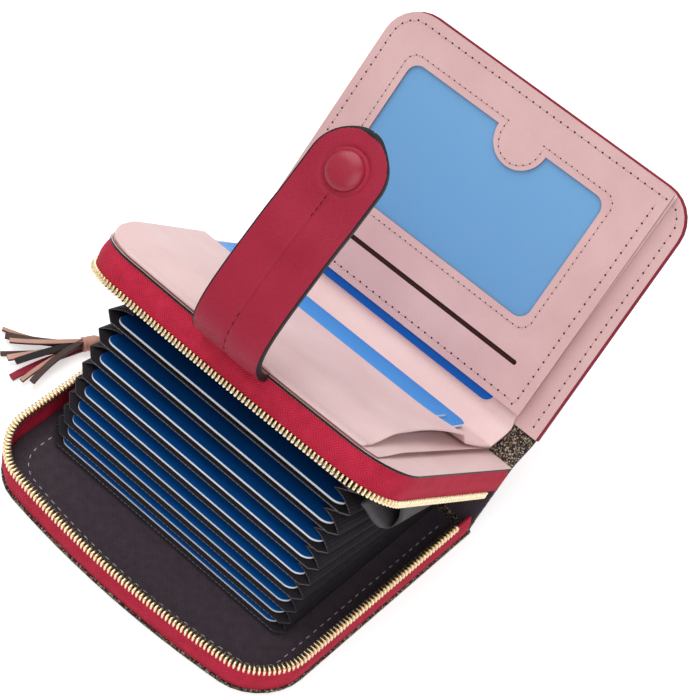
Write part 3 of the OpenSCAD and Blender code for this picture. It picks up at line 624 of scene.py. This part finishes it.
def teethRow(name, bow, z, body, node):  # small metal teeth clamped along a tape's edge
    bm = bmesh.new()
    path = railPath(railShape(tape.inset, teeth.back), bow, z, 400)
    for centre, along in spaced(path, teeth.pitch):
        bmesh.ops.create_cube(bm, size=1, matrix=standing(centre, along, Vector((0, 0, 1)), teeth.size))
    bmesh.ops.bevel(bm, geom=bm.edges[:], offset=teeth.soften, segments=1, profile=0.5, affect="EDGES", material=-1)
    finishPiece(name, bm, ("gold",), body, stands=(node,))


teethRow("lowerTeeth", w.baseBow, teeth.lowerZ, "lower_leaf", "lower_zip_teeth")

# A strip over the hinge line, from the back cover up to the spine cover, as points (y, z)
hingeLook = {
    "half": 55.4, "thickness": 1.1, "columns": 40, "bendFrom": (-0.6, 1.3), "bendTo": (0.3, 3.4),
    "path": [(-0.65, 0.4), (-0.65, 1.2), (-0.6, 1.9), (-0.3, 2.7), (0.3, 3.4), (1.1, 4.35)],
}
hinge = Values(**hingeLook)


def bendRun(body, *points):  # where a fold starts and ends bending
    return [frames[body] @ Vector((0, *point)) for point in points]


def stripSheet(half, points, columns, width):  # a strip along the wallet that follows points (y, z)
    last = len(points) - 1
    return mappedSheet(columns, last, lambda u, v: Vector((half * (2 * u - 1), *points[round(v * last)])),
                       (2 * half, width))


finishPiece("spineHinge", stripSheet(hinge.half, hinge.path, hinge.columns, 5), ("speckle",),
            "lower_leaf", thickness=hinge.thickness,
            bend=("lower_leaf", "middle_leaf", *bendRun("lower_leaf", hinge.bendFrom, hinge.bendTo)))
print("lower leaf done")

# cardLift: where the slot cards start to rise, over which run, and how far
leafLook = {
    "tapeBow": 0.6, "tapeLow": 15.8, "tapeHigh": 23.6, "cardLift": (31, 18, 0.9), "zigzagY": -93.1, "zigzagZ": 21.4,
    "zigzagLeft": -10.7, "zigzagRight": 12.3, "zigzagStep": 1.5, "zigzagRise": 1.1,
    "stitch": {"gap": 1.85, "length": 1.9, "width": 0.42, "height": 0.25, "hole": None},
}
leaf = Values(**leafLook)
zipTape("upperTape", w.leafBow, leaf.tapeLow, leaf.tapeHigh, leaf.tapeBow, "middle_leaf", "upper_zip_tape")
# leaf_lining and bill_panel take the lighter copy of the pink leather: painted light
for node, materials, slotName, width in (
        ("leaf_board", ("lining",), "twill_lining", 0.3),
        ("leaf_lining", ("pinkLitCopy", "edgePaint"), "pink_leather", 0.2),
        ("spine_cover", ("speckle",), "speckled_fabric", 0.4),
        ("spine_lining", ("lining",), "twill_lining", 0.2),
        ("bill_panel", ("pinkLitCopy", "pinkEdge"), "pink_leather", 0.15)):
    softCopy(node, materials, "middle_leaf", width, sides=len(materials) > 1)
for node in ("slot_card_1", "slot_card_2"):
    softCopy(node, ("bright", "bareCard"), "middle_leaf", 0.12, sides=True, lift=leaf.cardLift)
steps = round((leaf.zigzagRight - leaf.zigzagLeft) / leaf.zigzagStep)
zigzag = [(leaf.zigzagLeft + k * leaf.zigzagStep, leaf.zigzagY, leaf.zigzagZ + leaf.zigzagRise * (k % 2))
          for k in range(steps + 1)]
stitchRow("rootStitches", [zigzag], (0, -1, 0), "crimsonThread", "crimson_leather", "middle_leaf", **leaf.stitch)
teethRow("upperTeeth", w.leafBow, teeth.upperZ, "middle_leaf", "upper_zip_teeth")
print("middle leaf done")


def foldLine(start, lean, end, count, pull=0.3):  # points (y, z) from the leaf into the plane of the flap
    a, reach = radians(w.flapAngle), pull * dist(start, end)
    first = [s + reach * part for s, part in zip(start, lean)]
    last = [e - reach * part for e, part in zip(end, (-cos(a), sin(a)))]
    return [bezier(k / count, start, first, last, end) for k in range(count + 1)]


# The pink pocket sheet runs over the cards, down its mouth, round the fold and up behind the flap's window panel;
# free is where its front corner stands clear, bulge its rise over the notes
pocketLook = {
    "thickness": 0.6, "soften": 0.15, "slotX": -5.6, "slotLength": 91.2, "slotRamp": 12, "mouth": 30, "mouthRamp": 5,
    "rampTop": 70.8, "rampFoot": 86.9, "hemHeight": 1.1, "edgeHeight": 0.9, "edgeSlope": 0.1, "crown": 0.15,
    "crownFrom": 90, "crownRun": 85, "columns": 110, "left": 54.9, "frontRight": 43.2, "foldRight": 47.6,
    "freeFrom": 60, "freeRun": 52, "flapRight": (46.6, 48.0), "flapRun": 84, "frontHeight": 4.25, "rearHeight": 1.9,
    "sideGap": 0.7, "edgeGap": 0.6, "frontDepth": 89.8, "bulge": 2.0, "bulgeX": 26, "bulgeRun": 20, "bulgeDepth": 46,
    "bulgeReach": 24, "foldFrom": (-5, 26.1), "foldDepth": -4, "foldLean": (0.6, 0.6), "behindZ": 31.05,
}
p = Values(**pocketLook)
foldFrom, foldTo = p.foldFrom, flapPoint(p.foldDepth, p.behindZ)
foldCurve = foldLine(foldFrom, p.foldLean, foldTo, 12)
rampTop, rampFoot, mouth = p.rampTop, p.rampFoot, p.mouth
rowsAhead = [90.2, 89.6, 88.6, 87.4] + [rampFoot - (rampFoot - rampTop) * k / 10 for k in range(11)]
rowsAhead += [rampTop - (rampTop - mouth) * k / 20 for k in range(1, 21)]
lipRow = len(rowsAhead) - 1
rearTop = mouth - p.mouthRamp
rowsBehind = [mouth - p.mouthRamp * k / 6 for k in range(1, 7)] + [rearTop - 20 * k / 10 for k in range(1, 10)]
cornerRow = w.flapDepth - w.flapRadius
flapRows = [4 + 3 * k for k in range(1, 25)]
flapRows += [cornerRow + (w.flapRadius - p.edgeGap) * sin(pi / 2 * k / 8) for k in range(9)]
rowTable = [("leaf", d) for d in rowsAhead + rowsBehind]
rowTable += [("fold", point) for point in foldCurve] + [("flap", r) for r in flapRows]


def pocketHeight(depth):
    if depth > rampFoot:
        return p.edgeHeight + p.edgeSlope * (w.leafDepth - depth)
    if depth > rampTop:
        return p.hemHeight + (p.frontHeight - p.hemHeight) * swell((rampFoot - depth) / (rampFoot - rampTop))
    if depth >= mouth:
        return p.frontHeight
    return p.frontHeight + (p.rearHeight - p.frontHeight) * swell((mouth - depth) / p.mouthRamp)


def pocketPlace(u, v, dropped=False):
    kind, value = rowTable[round(v * (len(rowTable) - 1))]
    left, right = -p.left, p.foldRight
    if kind == "leaf":
        wide = halfWidth(min(value, p.frontDepth), w.leafLength - 2 * p.sideGap, w.leafDepth - p.edgeGap,
                         w.cornerRadius - p.edgeGap)
        free = p.frontRight + (p.foldRight - p.frontRight) * swell((p.freeFrom - value) / p.freeRun)
        left, right = max(left, -wide), min(free, wide)
    elif kind == "flap":
        wide = halfWidth(value, w.flapLength - 2 * p.edgeGap, w.flapDepth - p.edgeGap, w.flapRadius - p.edgeGap)
        low, high = p.flapRight
        left, right = max(left, -wide), min(wide, low + (high - low) * min(1, value / p.flapRun))
    x = left + (right - left) * u
    if kind == "fold":
        return Vector((x, *value))
    if kind == "flap":
        return Vector((x, *flapPoint(-value, p.behindZ)))
    height = pocketHeight(value)
    inside = swell((p.slotLength / 2 - abs(x - p.slotX)) / p.slotRamp)
    if value < mouth or dropped:
        height += (p.rearHeight - height) * inside
    height += p.crown * sin(pi * min(1, max(0, (p.crownFrom - value) / p.crownRun)))
    lean = exp(-((value - p.bulgeDepth) / p.bulgeReach) ** 2)
    height += max(0, (x - p.bulgeX) / p.bulgeRun) ** 2 * p.bulge * lean
    return Vector((x, bulged(x, -value, w.leafLength, w.leafDepth, w.leafBow), w.leafTop + height))


count = len(rowTable) - 1
sheet = bmesh.new()
bmesh.ops.create_grid(sheet, x_segments=p.columns, y_segments=count, size=0.5)
surface = sheet.loops.layers.uv.new("surface")
lip = lipRow / count - 0.5
for face in sheet.faces:
    for loop in face.loops:
        place = pocketPlace(loop.vert.co.x + 0.5, loop.vert.co.y + 0.5)
        loop[surface].uv = (place.x, place.y)


def onLip(vert):
    x = pocketPlace(vert.co.x + 0.5, vert.co.y + 0.5).x
    return abs(vert.co.y - lip) < 1e-4 and abs(x - p.slotX) < p.slotLength / 2


# The sheet is slit along the cards' slot, and the rear side of the slit drops under the cards
bmesh.ops.split_edges(sheet, edges=[e for e in sheet.edges if all(onLip(v) for v in e.verts)])
dropped = {v for v in sheet.verts
           if abs(v.co.y - lip) < 1e-4 and all(f.calc_center_median().y > lip for f in v.link_faces)}
for vert in sheet.verts:
    vert.co = pocketPlace(vert.co.x + 0.5, vert.co.y + 0.5, vert in dropped)
# the pocket sheet takes the lighter copy of the pink leather: painted light
finishPiece("pinkPocket", sheet, ("pinkLitCopy",), "middle_leaf",
            stands=("leaf_pocket", "lining_fold", "flap_bill_panel"), thickness=p.thickness, soften=p.soften,
            bend=("middle_leaf", "flap", *bendRun("middle_leaf", foldFrom, foldTo)))
print("pink pocket done")

coverFoldLook = {
    "half": 55.4, "thickness": 1.2, "soften": 0.3, "columns": 60, "start": (-0.6, 23.4), "end": flapPoint(-5, 32.95),
}
c = Values(**coverFoldLook)
coverCurve = foldLine(c.start, (0, 1), c.end, 14)
finishPiece("coverFold", stripSheet(c.half, coverCurve, c.columns, 11), ("speckle", "edgePaint"),
            "middle_leaf", stands=("cover_fold",), thickness=c.thickness, rim=1, soften=c.soften,
            bend=("middle_leaf", "flap", *bendRun("middle_leaf", coverCurve[1], coverCurve[13])))

# Edges of the rows of stitches, as x and as depth from the fold
flapLook = {
    "left": -52.8, "top": 84.4, "right": 52.6, "low": 10.6, "panelRight": 44.5, "panelTop": 82.5, "panelZ": 29.05,
    "liningZ": 31.75, "corner": 8, "windowX": -4.8, "windowHalf": 37.1, "windowLow": 31.1, "windowHigh": 73.6,
    "windowGap": 2.3, "windowCorner": 4, "thumbX": 0.4, "thumbRadius": 7.0, "thumbDrop": 0.6,
    "windowStitch": {"gap": 2.1, "length": 1.35, "width": 0.36, "height": 0.2, "hole": (0.3, 0.26, 0.07)},
    "slitX": -4.05, "slitR": 20, "slitZ": 29.78, "slitLength": 85, "slitDepth": 2.6, "slitThickness": 0.08,
    "coverSide": 52.5, "coverTop": 84.5, "coverLow": 6, "coverCorner": 9,
}
f = Values(**flapLook)
for node, materials, slotName, width in (
        ("front_cover", ("crimson", "crimsonEdge"), "crimson_leather", 0.3),
        ("flap_lining", ("pink", "pinkEdge"), "pink_leather", 0.15),
        ("id_panel", ("pink", "pinkEdge"), "pink_leather", 0.12),
        ("id_window", ("film",), "window_film", 0.05),
        ("id_card", ("sky", "bareCard"), "sky_card", 0.12),
        ("slot_card_3", ("deep", "bareCard"), "royal_card", 0.12)):
    softCopy(node, materials, "flap", width, sides=len(materials) > 1)
# a dark strip behind the slit: painted shade in the open slot
slit = bmesh.new()
slitPlace = shift((f.slitX, -f.slitR, f.slitZ)) @ Matrix.Diagonal((f.slitLength, f.slitDepth, 1, 1))
bmesh.ops.create_grid(slit, x_segments=24, y_segments=2, size=0.5, matrix=slitPlace)
finishPiece("slitShade", slit, ("holeShade",), "flap", thickness=f.slitThickness)


def panelPath(points, radius=f.corner, z=f.panelZ):
    return roundedPath([(x, -r, z) for x, r in points], radius)


outerRow = panelPath([(f.left, 10), (f.left, f.top), (46.3, f.top)])
beyond = panelPath([(49.3, f.top), (f.right, f.top), (f.right, 8)], 7, f.liningZ)
panelRow = panelPath([(f.panelRight, f.panelTop), (f.panelRight, f.low), (f.left, f.low)], 1)
stitchRow("flapStitches", [outerRow, panelRow, beyond], (0, 0, -1), "paleThread", "pink_leather", "flap")
across, gap, thumb = f.windowHalf, f.windowGap, f.thumbRadius
left, right = f.windowX - across - gap, f.windowX + across + gap
low, high = f.windowLow - gap, f.windowHigh + gap
dip = f.windowHigh - f.thumbDrop
ring = panelPath([(f.thumbX - thumb, high), (left, high), (left, low), (right, low), (right, high),
                  (f.thumbX + thumb, high)], f.windowCorner)
for k in range(14, -1, -1):
    t = pi * k / 14
    ring.append(Vector((f.thumbX - thumb * cos(t), thumb * sin(t) - dip, f.panelZ)))
stitchRow("windowStitches", [ring + [ring[0]]], (0, 0, -1), "paleThread", "pink_leather", "flap", **f.windowStitch)
side, top, foot = f.coverSide, f.coverTop, f.coverLow
coverRow = panelPath([(-side, foot), (-side, top), (side, top), (side, foot)], f.coverCorner, w.flapTop)
stitchRow("coverStitches", [coverRow], (0, 0, 1), "crimsonThread", "crimson_leather", "flap", hole=None)
print("flap done")

# The strap's side view rises from foot over shoulder to crest, and levels out flatBefore its snap
strapLook = {
    "half": 11.5, "thickness": 2.2, "reach": 67, "crest": 14.4, "endHeight": 13.6, "foot": -1.8, "shoulder": 10.4,
    "ridge": 30, "fall": 42, "settle": 12, "flatBefore": 5.9, "crown": 0.35, "seamDepth": 0.65, "seamWidth": 0.4,
    "seamFrom": 3, "seamBefore": 7.5, "ringDepth": 0.35, "ringRadius": 6.5, "ringWidth": 0.5, "paint": 0.42,
    "soften": 0.35, "rows": 150, "straightRows": 0.78, "stitch": (0.8, 0.3, 0.2), "domeRadius": 5.6, "domeHeight": 2.4,
    "domeSeat": 1.1,
}
st = Values(**strapLook)
crest = st.crest
snapRun = st.reach - st.half
flatRun = snapRun - st.flatBefore
line = [bezier(t / 24, (0, 0), (st.foot, crest), (st.shoulder, crest), (st.ridge, crest)) for t in range(25)]
line += [bezier(t / 16, (st.ridge, crest), (st.fall, crest), (flatRun - st.settle, st.endHeight),
                (flatRun, st.endHeight)) for t in range(1, 17)]
line += [(flatRun + (st.reach - flatRun) * t / 14, st.endHeight) for t in range(1, 15)]
stops = [0]
for a, b in zip(line, line[1:]):
    stops.append(stops[-1] + dist(a, b))
strapLength = stops[-1]
snapAt = strapLength - st.half
halfShares = [0.012, 0.026, 0.045, 0.08] + [0.13 + 0.052 * t for t in range(16)] + [0.938, 0.962, 0.985, 1]
columnShares = [-share for share in reversed(halfShares)] + [0] + halfShares
lastColumn = len(columnShares) - 1


def strapRow(v):  # length along the strap at a row, rows closer round its end
    straight = st.straightRows
    if v <= straight:
        return v / straight * snapAt
    return snapAt + st.half * sin(pi / 2 * (v - straight) / (1 - straight))


def onStrap(s, x, puff=0.0):  # a point of the strap's middle surface raised by puff, the way along and the way up
    s = min(strapLength - 0.001, s)
    i = max(i for i, stop in enumerate(stops[:-1]) if stop <= s)
    a, b = Vector(line[i]), Vector(line[i + 1])
    run, height = a.lerp(b, (s - stops[i]) / (stops[i + 1] - stops[i]))
    d = (b - a).normalized()
    point = Vector((x, w.strapY + run - d.y * puff, w.strapZ + height + d.x * puff))
    return point, Vector((0, d.x, d.y)), Vector((0, -d.y, d.x))


def strapPlace(u, v):
    s = strapRow(v)
    half = st.half if s <= snapAt else max(0.3, sqrt(max(0, st.half ** 2 - (s - snapAt) ** 2)))
    across = columnShares[round(u * lastColumn)]
    x = half * across
    puff = st.crown * (1 - across ** 4)
    if st.seamFrom < s < snapAt - st.seamBefore:
        puff -= st.seamDepth * exp(-(x / st.seamWidth) ** 2)
    puff -= st.ringDepth * exp(-((hypot(x, s - snapAt) - st.ringRadius) / st.ringWidth) ** 2)
    return onStrap(s, x, puff)[0]


strapSheet = mappedSheet(lastColumn, st.rows, strapPlace, (2 * st.half, strapLength))
for face in strapSheet.faces:
    s = strapRow(sum(loop[strapSheet.loops.layers.uv.active].uv[1] for loop in face.loops) / 4 / strapLength)
    x = sum(v.co.x for v in face.verts) / 4
    away = st.half - (abs(x) if s <= snapAt else hypot(x, s - snapAt))
    face.material_index = 1 if away < st.paint else 0
finishPiece("closingStrap", strapSheet, ("crimson", "edgePaint"), "closing_strap", stands=("strap",),
            thickness=st.thickness - 0.2, rim=1, soften=st.soften)
seamStitches = bmesh.new()
seamHeight = st.crown - st.seamDepth * 0.5 + st.thickness / 2 - 0.1
for s in [snapAt - 8.2 - 1.9 * t for t in range(4)] + [5.5 + 2.7 * t for t in range(6)]:
    bead(seamStitches, *onStrap(s, 0, seamHeight), st.stitch)
finishPiece("seamStitches", seamStitches, ("crimsonThread",), "closing_strap")


def turnedShape(profile, steps):  # a closed shape spun from a profile of (radius, height)
    bm = bmesh.new()
    verts = [bm.verts.new((x, 0, z)) for x, z in profile]
    edges = [bm.edges.new(pair) for pair in zip(verts, verts[1:])]
    bmesh.ops.spin(bm, geom=verts + edges, cent=(0, 0, 0), axis=(0, 0, 1), angle=2 * pi, steps=steps, use_merge=True)
    bmesh.ops.remove_doubles(bm, verts=bm.verts, dist=0.001)
    bmesh.ops.recalc_face_normals(bm, faces=bm.faces)
    return bm


r, h = st.domeRadius, st.domeHeight
domeTurns = [t * pi / 18 for t in range(1, 9)]
domeProfile = [(0, h)] + [(r * sin(t), h * cos(t) ** 0.8) for t in domeTurns]
domeProfile += [(r, 0), (r * 0.9, -0.2), (0, -0.2)]
domePlace = strapFrame @ shift((0, w.strapY + snapRun, w.strapZ + st.endHeight + st.domeSeat))
finishPiece("snapDome", turnedShape(domeProfile, 40), ("crimsonGloss",), "closing_strap",
            stands=("snap_cap",), place=domePlace)
print("strap done")

# webFront: how far forward the pleated sides reach at the left and at the right
fanLook = {
    "left": -50.2, "right": 43.7, "webColumns": 14, "webRows": 8, "webBack": 5, "webFront": (68, 70),
    "webThickness": 0.35, "webDepth": 1.0, "webDepthPerGap": 1.42, "webRise": 2.0, "squashDepth": 62,
    "dashFront": -72.52, "dashLeft": -44.6, "dashRight": 41,
    "dash": {"gap": 1.5, "length": 0.9, "width": 0.26, "height": 0.1, "lift": 0, "hole": None},
}
fan = Values(**fanLook)
for i in range(w.pockets + 1):
    softCopy(f"divider_{i}", ("divider", "piping"), f"leaf_{i}", 0.12, sides=True)
    dashes = [(x, fan.dashFront, dividerMiddle(i)) for x in (fan.dashLeft, fan.dashRight)]
    stitchRow(f"dividerStitches_{i}", [dashes], (0, -1, 0), "greyThread", "twill_lining", f"leaf_{i}", **fan.dash)
    if i < w.pockets:
        # the pocket cards darken deeper in their pockets: painted shade
        softCopy(f"pocket_card_{9 - i}", ("royal", "bareCard"), f"leaf_{i}", 0.22, sides=True)


def webSheet(i, side):  # cloth between two dividers' side edges, folded inwards
    edge, front = (fan.left, fan.webFront[0]) if side < 0 else (fan.right, fan.webFront[1])
    low, high = frames[f"leaf_{i}"], frames[f"leaf_{i + 1}"]

    def onWeb(u, v):
        y = -fan.webBack - (front - fan.webBack) * u
        a, b = low @ Vector((edge, y, dividerMiddle(i))), high @ Vector((edge, y, dividerMiddle(i + 1)))
        inward = 1 - abs(2 * v - 1)
        deep = fan.webDepth + fan.webDepthPerGap * ((b - a).length * 1000 - w.levelStep)
        share = 0.5 * (1 - (1 - inward) ** fan.webRise) if v < 0.5 else 1 - 0.5 * inward
        return a.lerp(b, share) + Vector((-side * deep * inward * 0.001, 0, 0))

    return mappedSheet(fan.webColumns, fan.webRows, onWeb, (front, 12))


for i in range(w.pockets):
    low, high = (frames[f"leaf_{j}"] @ Vector((0, -fan.squashDepth, dividerZ(j))) for j in (i, i + 1))
    for side, label in ((-1, "left"), (1, "right")):
        web = finishPiece(f"{label}Web_{i}", webSheet(i, side), ("divider", "piping"), f"leaf_{i}",
                          stands=(f"{label}_pleats",) if i == 0 else (), thickness=fan.webThickness, rim=1,
                          place=Matrix.Identity(4))
        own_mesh(web)
print("accordion done")

# End gussets close the sides of the note space: a web at the left, a loose bag at the right. bagFront is the bag's
# mouth, drawn in the open wallet; bagBend is a run of x passed along with the bag
gussetLook = {
    "thickness": 0.4, "webRear": 30.5, "webFront": 68, "webX": (-50.7, -52.1), "webDraw": 1.6, "webSeat": 0.3,
    "tapeZ": 16.3, "bendDepth": 50, "bendRun": 0.006, "bagRear": 8, "bagX": (45.2, 52.6), "bagRearDrop": 1.5,
    "bagBend": (0.0455, 0.0528),
    "bagFront": [(45.0, -50.3, 50.4), (45.8, -52.3, 51.0), (47.2, -51, 48), (49, -50, 45), (50.6, -48.4, 42.2),
                 (51.5, -46, 40.2), (52.3, -43.6, 39.6), (52.8, -42.4, 43), (52.8, -43.6, 50), (52.8, -44.4, 55)],
}
q = Values(**gussetLook)


def fanEdge(r):  # (y, z) of the top divider's upper face at a distance from its hinge
    top = w.pockets
    point = frames[f"leaf_{top}"] @ Vector((0, -r, dividerZ(top) + w.dividerThickness))
    return (point.y * 1000 - w.leafDepth / 2, point.z * 1000)


def leafEdge(r):  # (y, z) of the upper tape's lower edge
    return turned((-r, q.tapeZ), (0, w.hingeZ), w.leafAngle)


def leftWeb(u, v):
    r = q.webRear + (q.webFront - q.webRear) * u
    y, z = Vector(fanEdge(r)).lerp(Vector(leafEdge(r)), v)
    x = q.webX[0] + (q.webX[1] - q.webX[0]) * v + q.webDraw * sin(pi * v) * u
    return Vector((x, y, z + q.webSeat * (1 - v)))


def alongPath(points, share):  # a smooth curve through points
    place = share * (len(points) - 1)
    i = min(len(points) - 2, int(place))
    before, start, end, after = (Vector(points[min(len(points) - 1, max(0, j))]) for j in (i - 1, i, i + 1, i + 2))
    t = place - i
    return 0.5 * (2 * start + (end - before) * t + (2 * before - 5 * start + 4 * end - after) * t * t
                  + (3 * start - before - 3 * end + after) * t ** 3)


def rightBag(u, v):
    mouth = alongPath(q.bagFront, u)
    y, z = Vector(fanEdge(q.bagRear)).lerp(Vector(leafEdge(q.bagRear)), u)
    x = q.bagX[0] + (q.bagX[1] - q.bagX[0]) * u
    return mouth.lerp(Vector((x, y, z - q.bagRearDrop * sin(pi * u))), v)


leafUp = (leafFrame.to_3x3() @ Vector((0, 0, 1))).normalized()
root = baseFrame @ Vector((0, *fanEdge(q.bendDepth)))
tip = root + leafUp * q.bendRun
finishPiece("leftGusset", mappedSheet(16, 10, leftWeb, (38, 8)), ("satin", "piping"), "leaf_9",
            stands=("left_end_gusset",), thickness=q.thickness, rim=1, place=baseFrame,
            bend=("leaf_9", "middle_leaf", root, tip))
bagFrom, bagTo = (Vector((x, root.y, root.z)) for x in q.bagBend)
# the bag's inner side takes the black finish: painted shade in the hollow of the bag
finishPiece("rightGusset", mappedSheet(36, 16, rightBag, (30, 45)), ("satin", "edgePaint", "piping"),
            "leaf_9", stands=("right_end_gusset",), thickness=q.thickness, inner=1, rim=2, place=baseFrame,
            bend=("leaf_9", "middle_leaf", bagFrom, bagTo))
print("gussets done")

for node, body, width in (("zip_slider", "slider", 0.25), ("pull_tab", "pull", 0.15), ("tassel_ring", "tassel", 0.02)):
    softCopy(node, ("gold",), body, width)
# cap: radius as a share of capRadius and place along the cap; a strand has a finish and a width
tasselLook = {
    "strandLength": 25, "shorter": 1.4, "fan": 60, "rootX": 10.2, "rootZ": 0.9, "layerStep": 1.7, "thickness": 0.7,
    "soften": 0.15, "capRadius": 2.3, "capPlace": (4.7, 0, 2.9),
    "cap": [(0, 0), (0.45, 0.05), (0.7, 0.3), (0.86, 1), (1, 1.9), (1, 4.3), (0.93, 4.5), (0.93, 4.8), (1, 5), (1, 5.9),
            (0.8, 6), (0, 6)],
    "strands": [("roseGold", 1.5), ("brown", 2.6), ("roseGold", 1.8), ("brown", 1.6), ("roseGold", 2.2),
                ("edgePaint", 2.2), ("crimson", 2.4), ("roseGold", 1.6), ("brown", 2.0)],
}
ts = Values(**tasselLook)
capProfile = [(ts.capRadius * share, along) for share, along in ts.cap]
capPlace = tasselFrame @ shift(ts.capPlace) @ Matrix.Rotation(pi / 2, 4, "Y")
finishPiece("tasselCap", turnedShape(capProfile, 32), ("roseGold",), "tassel",
            stands=("tassel_cap",), place=capPlace)
for i, (finish, width) in enumerate(ts.strands):
    swing = radians(ts.fan * (i / (len(ts.strands) - 1) - 0.5))
    layer = i % 3

    def strandPlace(u, v):
        s = u * (ts.strandLength - ts.shorter * layer)
        y = (v - 0.5) * width * (0.75 + 0.25 * min(1, s / 5))
        z = ts.rootZ + layer * ts.layerStep * (1 - 0.25 * u) + 0.25 * sin(3 * u + i) + 0.12 * cos(6 * v)
        bend = swing * (0.6 + 0.4 * u)
        return Vector((ts.rootX + s * cos(bend) - y * sin(bend), s * sin(bend) + y * cos(bend), z))

    finishPiece(f"strand_{i}", mappedSheet(18, 4, strandPlace, (25, width)), (finish, "brown"),
                "tassel", stands=("tassel_strands",) if i == 0 else (), thickness=ts.thickness, rim=1, soften=ts.soften)
print("tassel done")

studioLook = {
    "floorSize": 3.0, "floorTone": 0.82, "floorGlow": 0.5, "worldStrength": 0.5,
    "key": {"place": (-0.28, 0.2, 0.85), "target": (0, 0.02, 0.03), "size": 0.9, "power": 5.8},
    "fill": {"place": (0.5, -0.5, 0.6), "target": (0, 0.02, 0.04), "size": 0.8, "power": 3.0},
    "cameraPlace": (0.22365669, -0.35014036, 0.54400008), "cameraTurn": (40.52977908, -10.38373922, 41.40327802),
    "lens": 120.618, "sensor": 36,
}
studio = Values(**studioLook)
floorMesh = bmesh.new()
bmesh.ops.create_grid(floorMesh, x_segments=1, y_segments=1, size=studio.floorSize)
floorData = bpy.data.meshes.new("floor")
floorMesh.to_mesh(floorData)
floorMesh.free()
floor = addObject("floor", floorData)
# The floor takes shadows, and glows a little for the camera and in reflections, as white paper does in a studio
material, tree, shader = startFinish("paperFloor")
sheen(shader, 0.1, 0.9, Base_Color=(studio.floorTone,) * 3 + (1,))
light = addNode(tree, "ShaderNodeLightPath")
glow = addNode(tree, "ShaderNodeEmission", Strength=studio.floorGlow)
both = tree.nodes.new("ShaderNodeAddShader")
pick = tree.nodes.new("ShaderNodeMixShader")
seen = calc(tree, "MAXIMUM", light.outputs["Is Camera Ray"],
            calc(tree, "MAXIMUM", light.outputs["Is Glossy Ray"], light.outputs["Is Transmission Ray"]))
for start, end in ((shader.outputs[0], both.inputs[0]), (glow.outputs[0], both.inputs[1]), (seen, pick.inputs[0]),
                   (shader.outputs[0], pick.inputs[1]), (both.outputs[0], pick.inputs[2]),
                   (pick.outputs[0], tree.nodes["Material Output"].inputs["Surface"])):
    tree.links.new(start, end)
floorData.materials.append(material)

# The camera sees a white backdrop, the wallet is lit by a dimmer white
world = bpy.data.worlds.new("studio")
scene.world = world
world.use_nodes = True
tree = world.node_tree
sky, backdrop = tree.nodes["Background"], tree.nodes.new("ShaderNodeBackground")
dial(sky, Color=(1, 1, 1, 1), Strength=studio.worldStrength)
dial(backdrop, Color=(1, 1, 1, 1), Strength=1.0)
light = addNode(tree, "ShaderNodeLightPath")
pick = tree.nodes.new("ShaderNodeMixShader")
for start, end in ((light.outputs["Is Camera Ray"], pick.inputs[0]), (sky.outputs[0], pick.inputs[1]),
                   (backdrop.outputs[0], pick.inputs[2]),
                   (pick.outputs[0], tree.nodes["World Output"].inputs["Surface"])):
    tree.links.new(start, end)


def softLight(name, place, target, size, power):
    data = bpy.data.lights.new(name, "AREA")
    data.energy, data.shape, data.size = power, "SQUARE", size
    lamp = addObject(name, data)
    lamp.location = place
    lamp.rotation_euler = (Vector(target) - Vector(place)).to_track_quat("-Z", "Y").to_euler()


softLight("keyLight", **studio.key)
softLight("fillLight", **studio.fill)
lens = bpy.data.cameras.new("camera")
lens.lens, lens.sensor_width = studio.lens, studio.sensor
camera = addObject("camera", lens)
camera.location = studio.cameraPlace
camera.rotation_euler = tuple(radians(a) for a in studio.cameraTurn)
scene.camera = camera
scene.view_settings.view_transform = "Standard"
print("studio done")
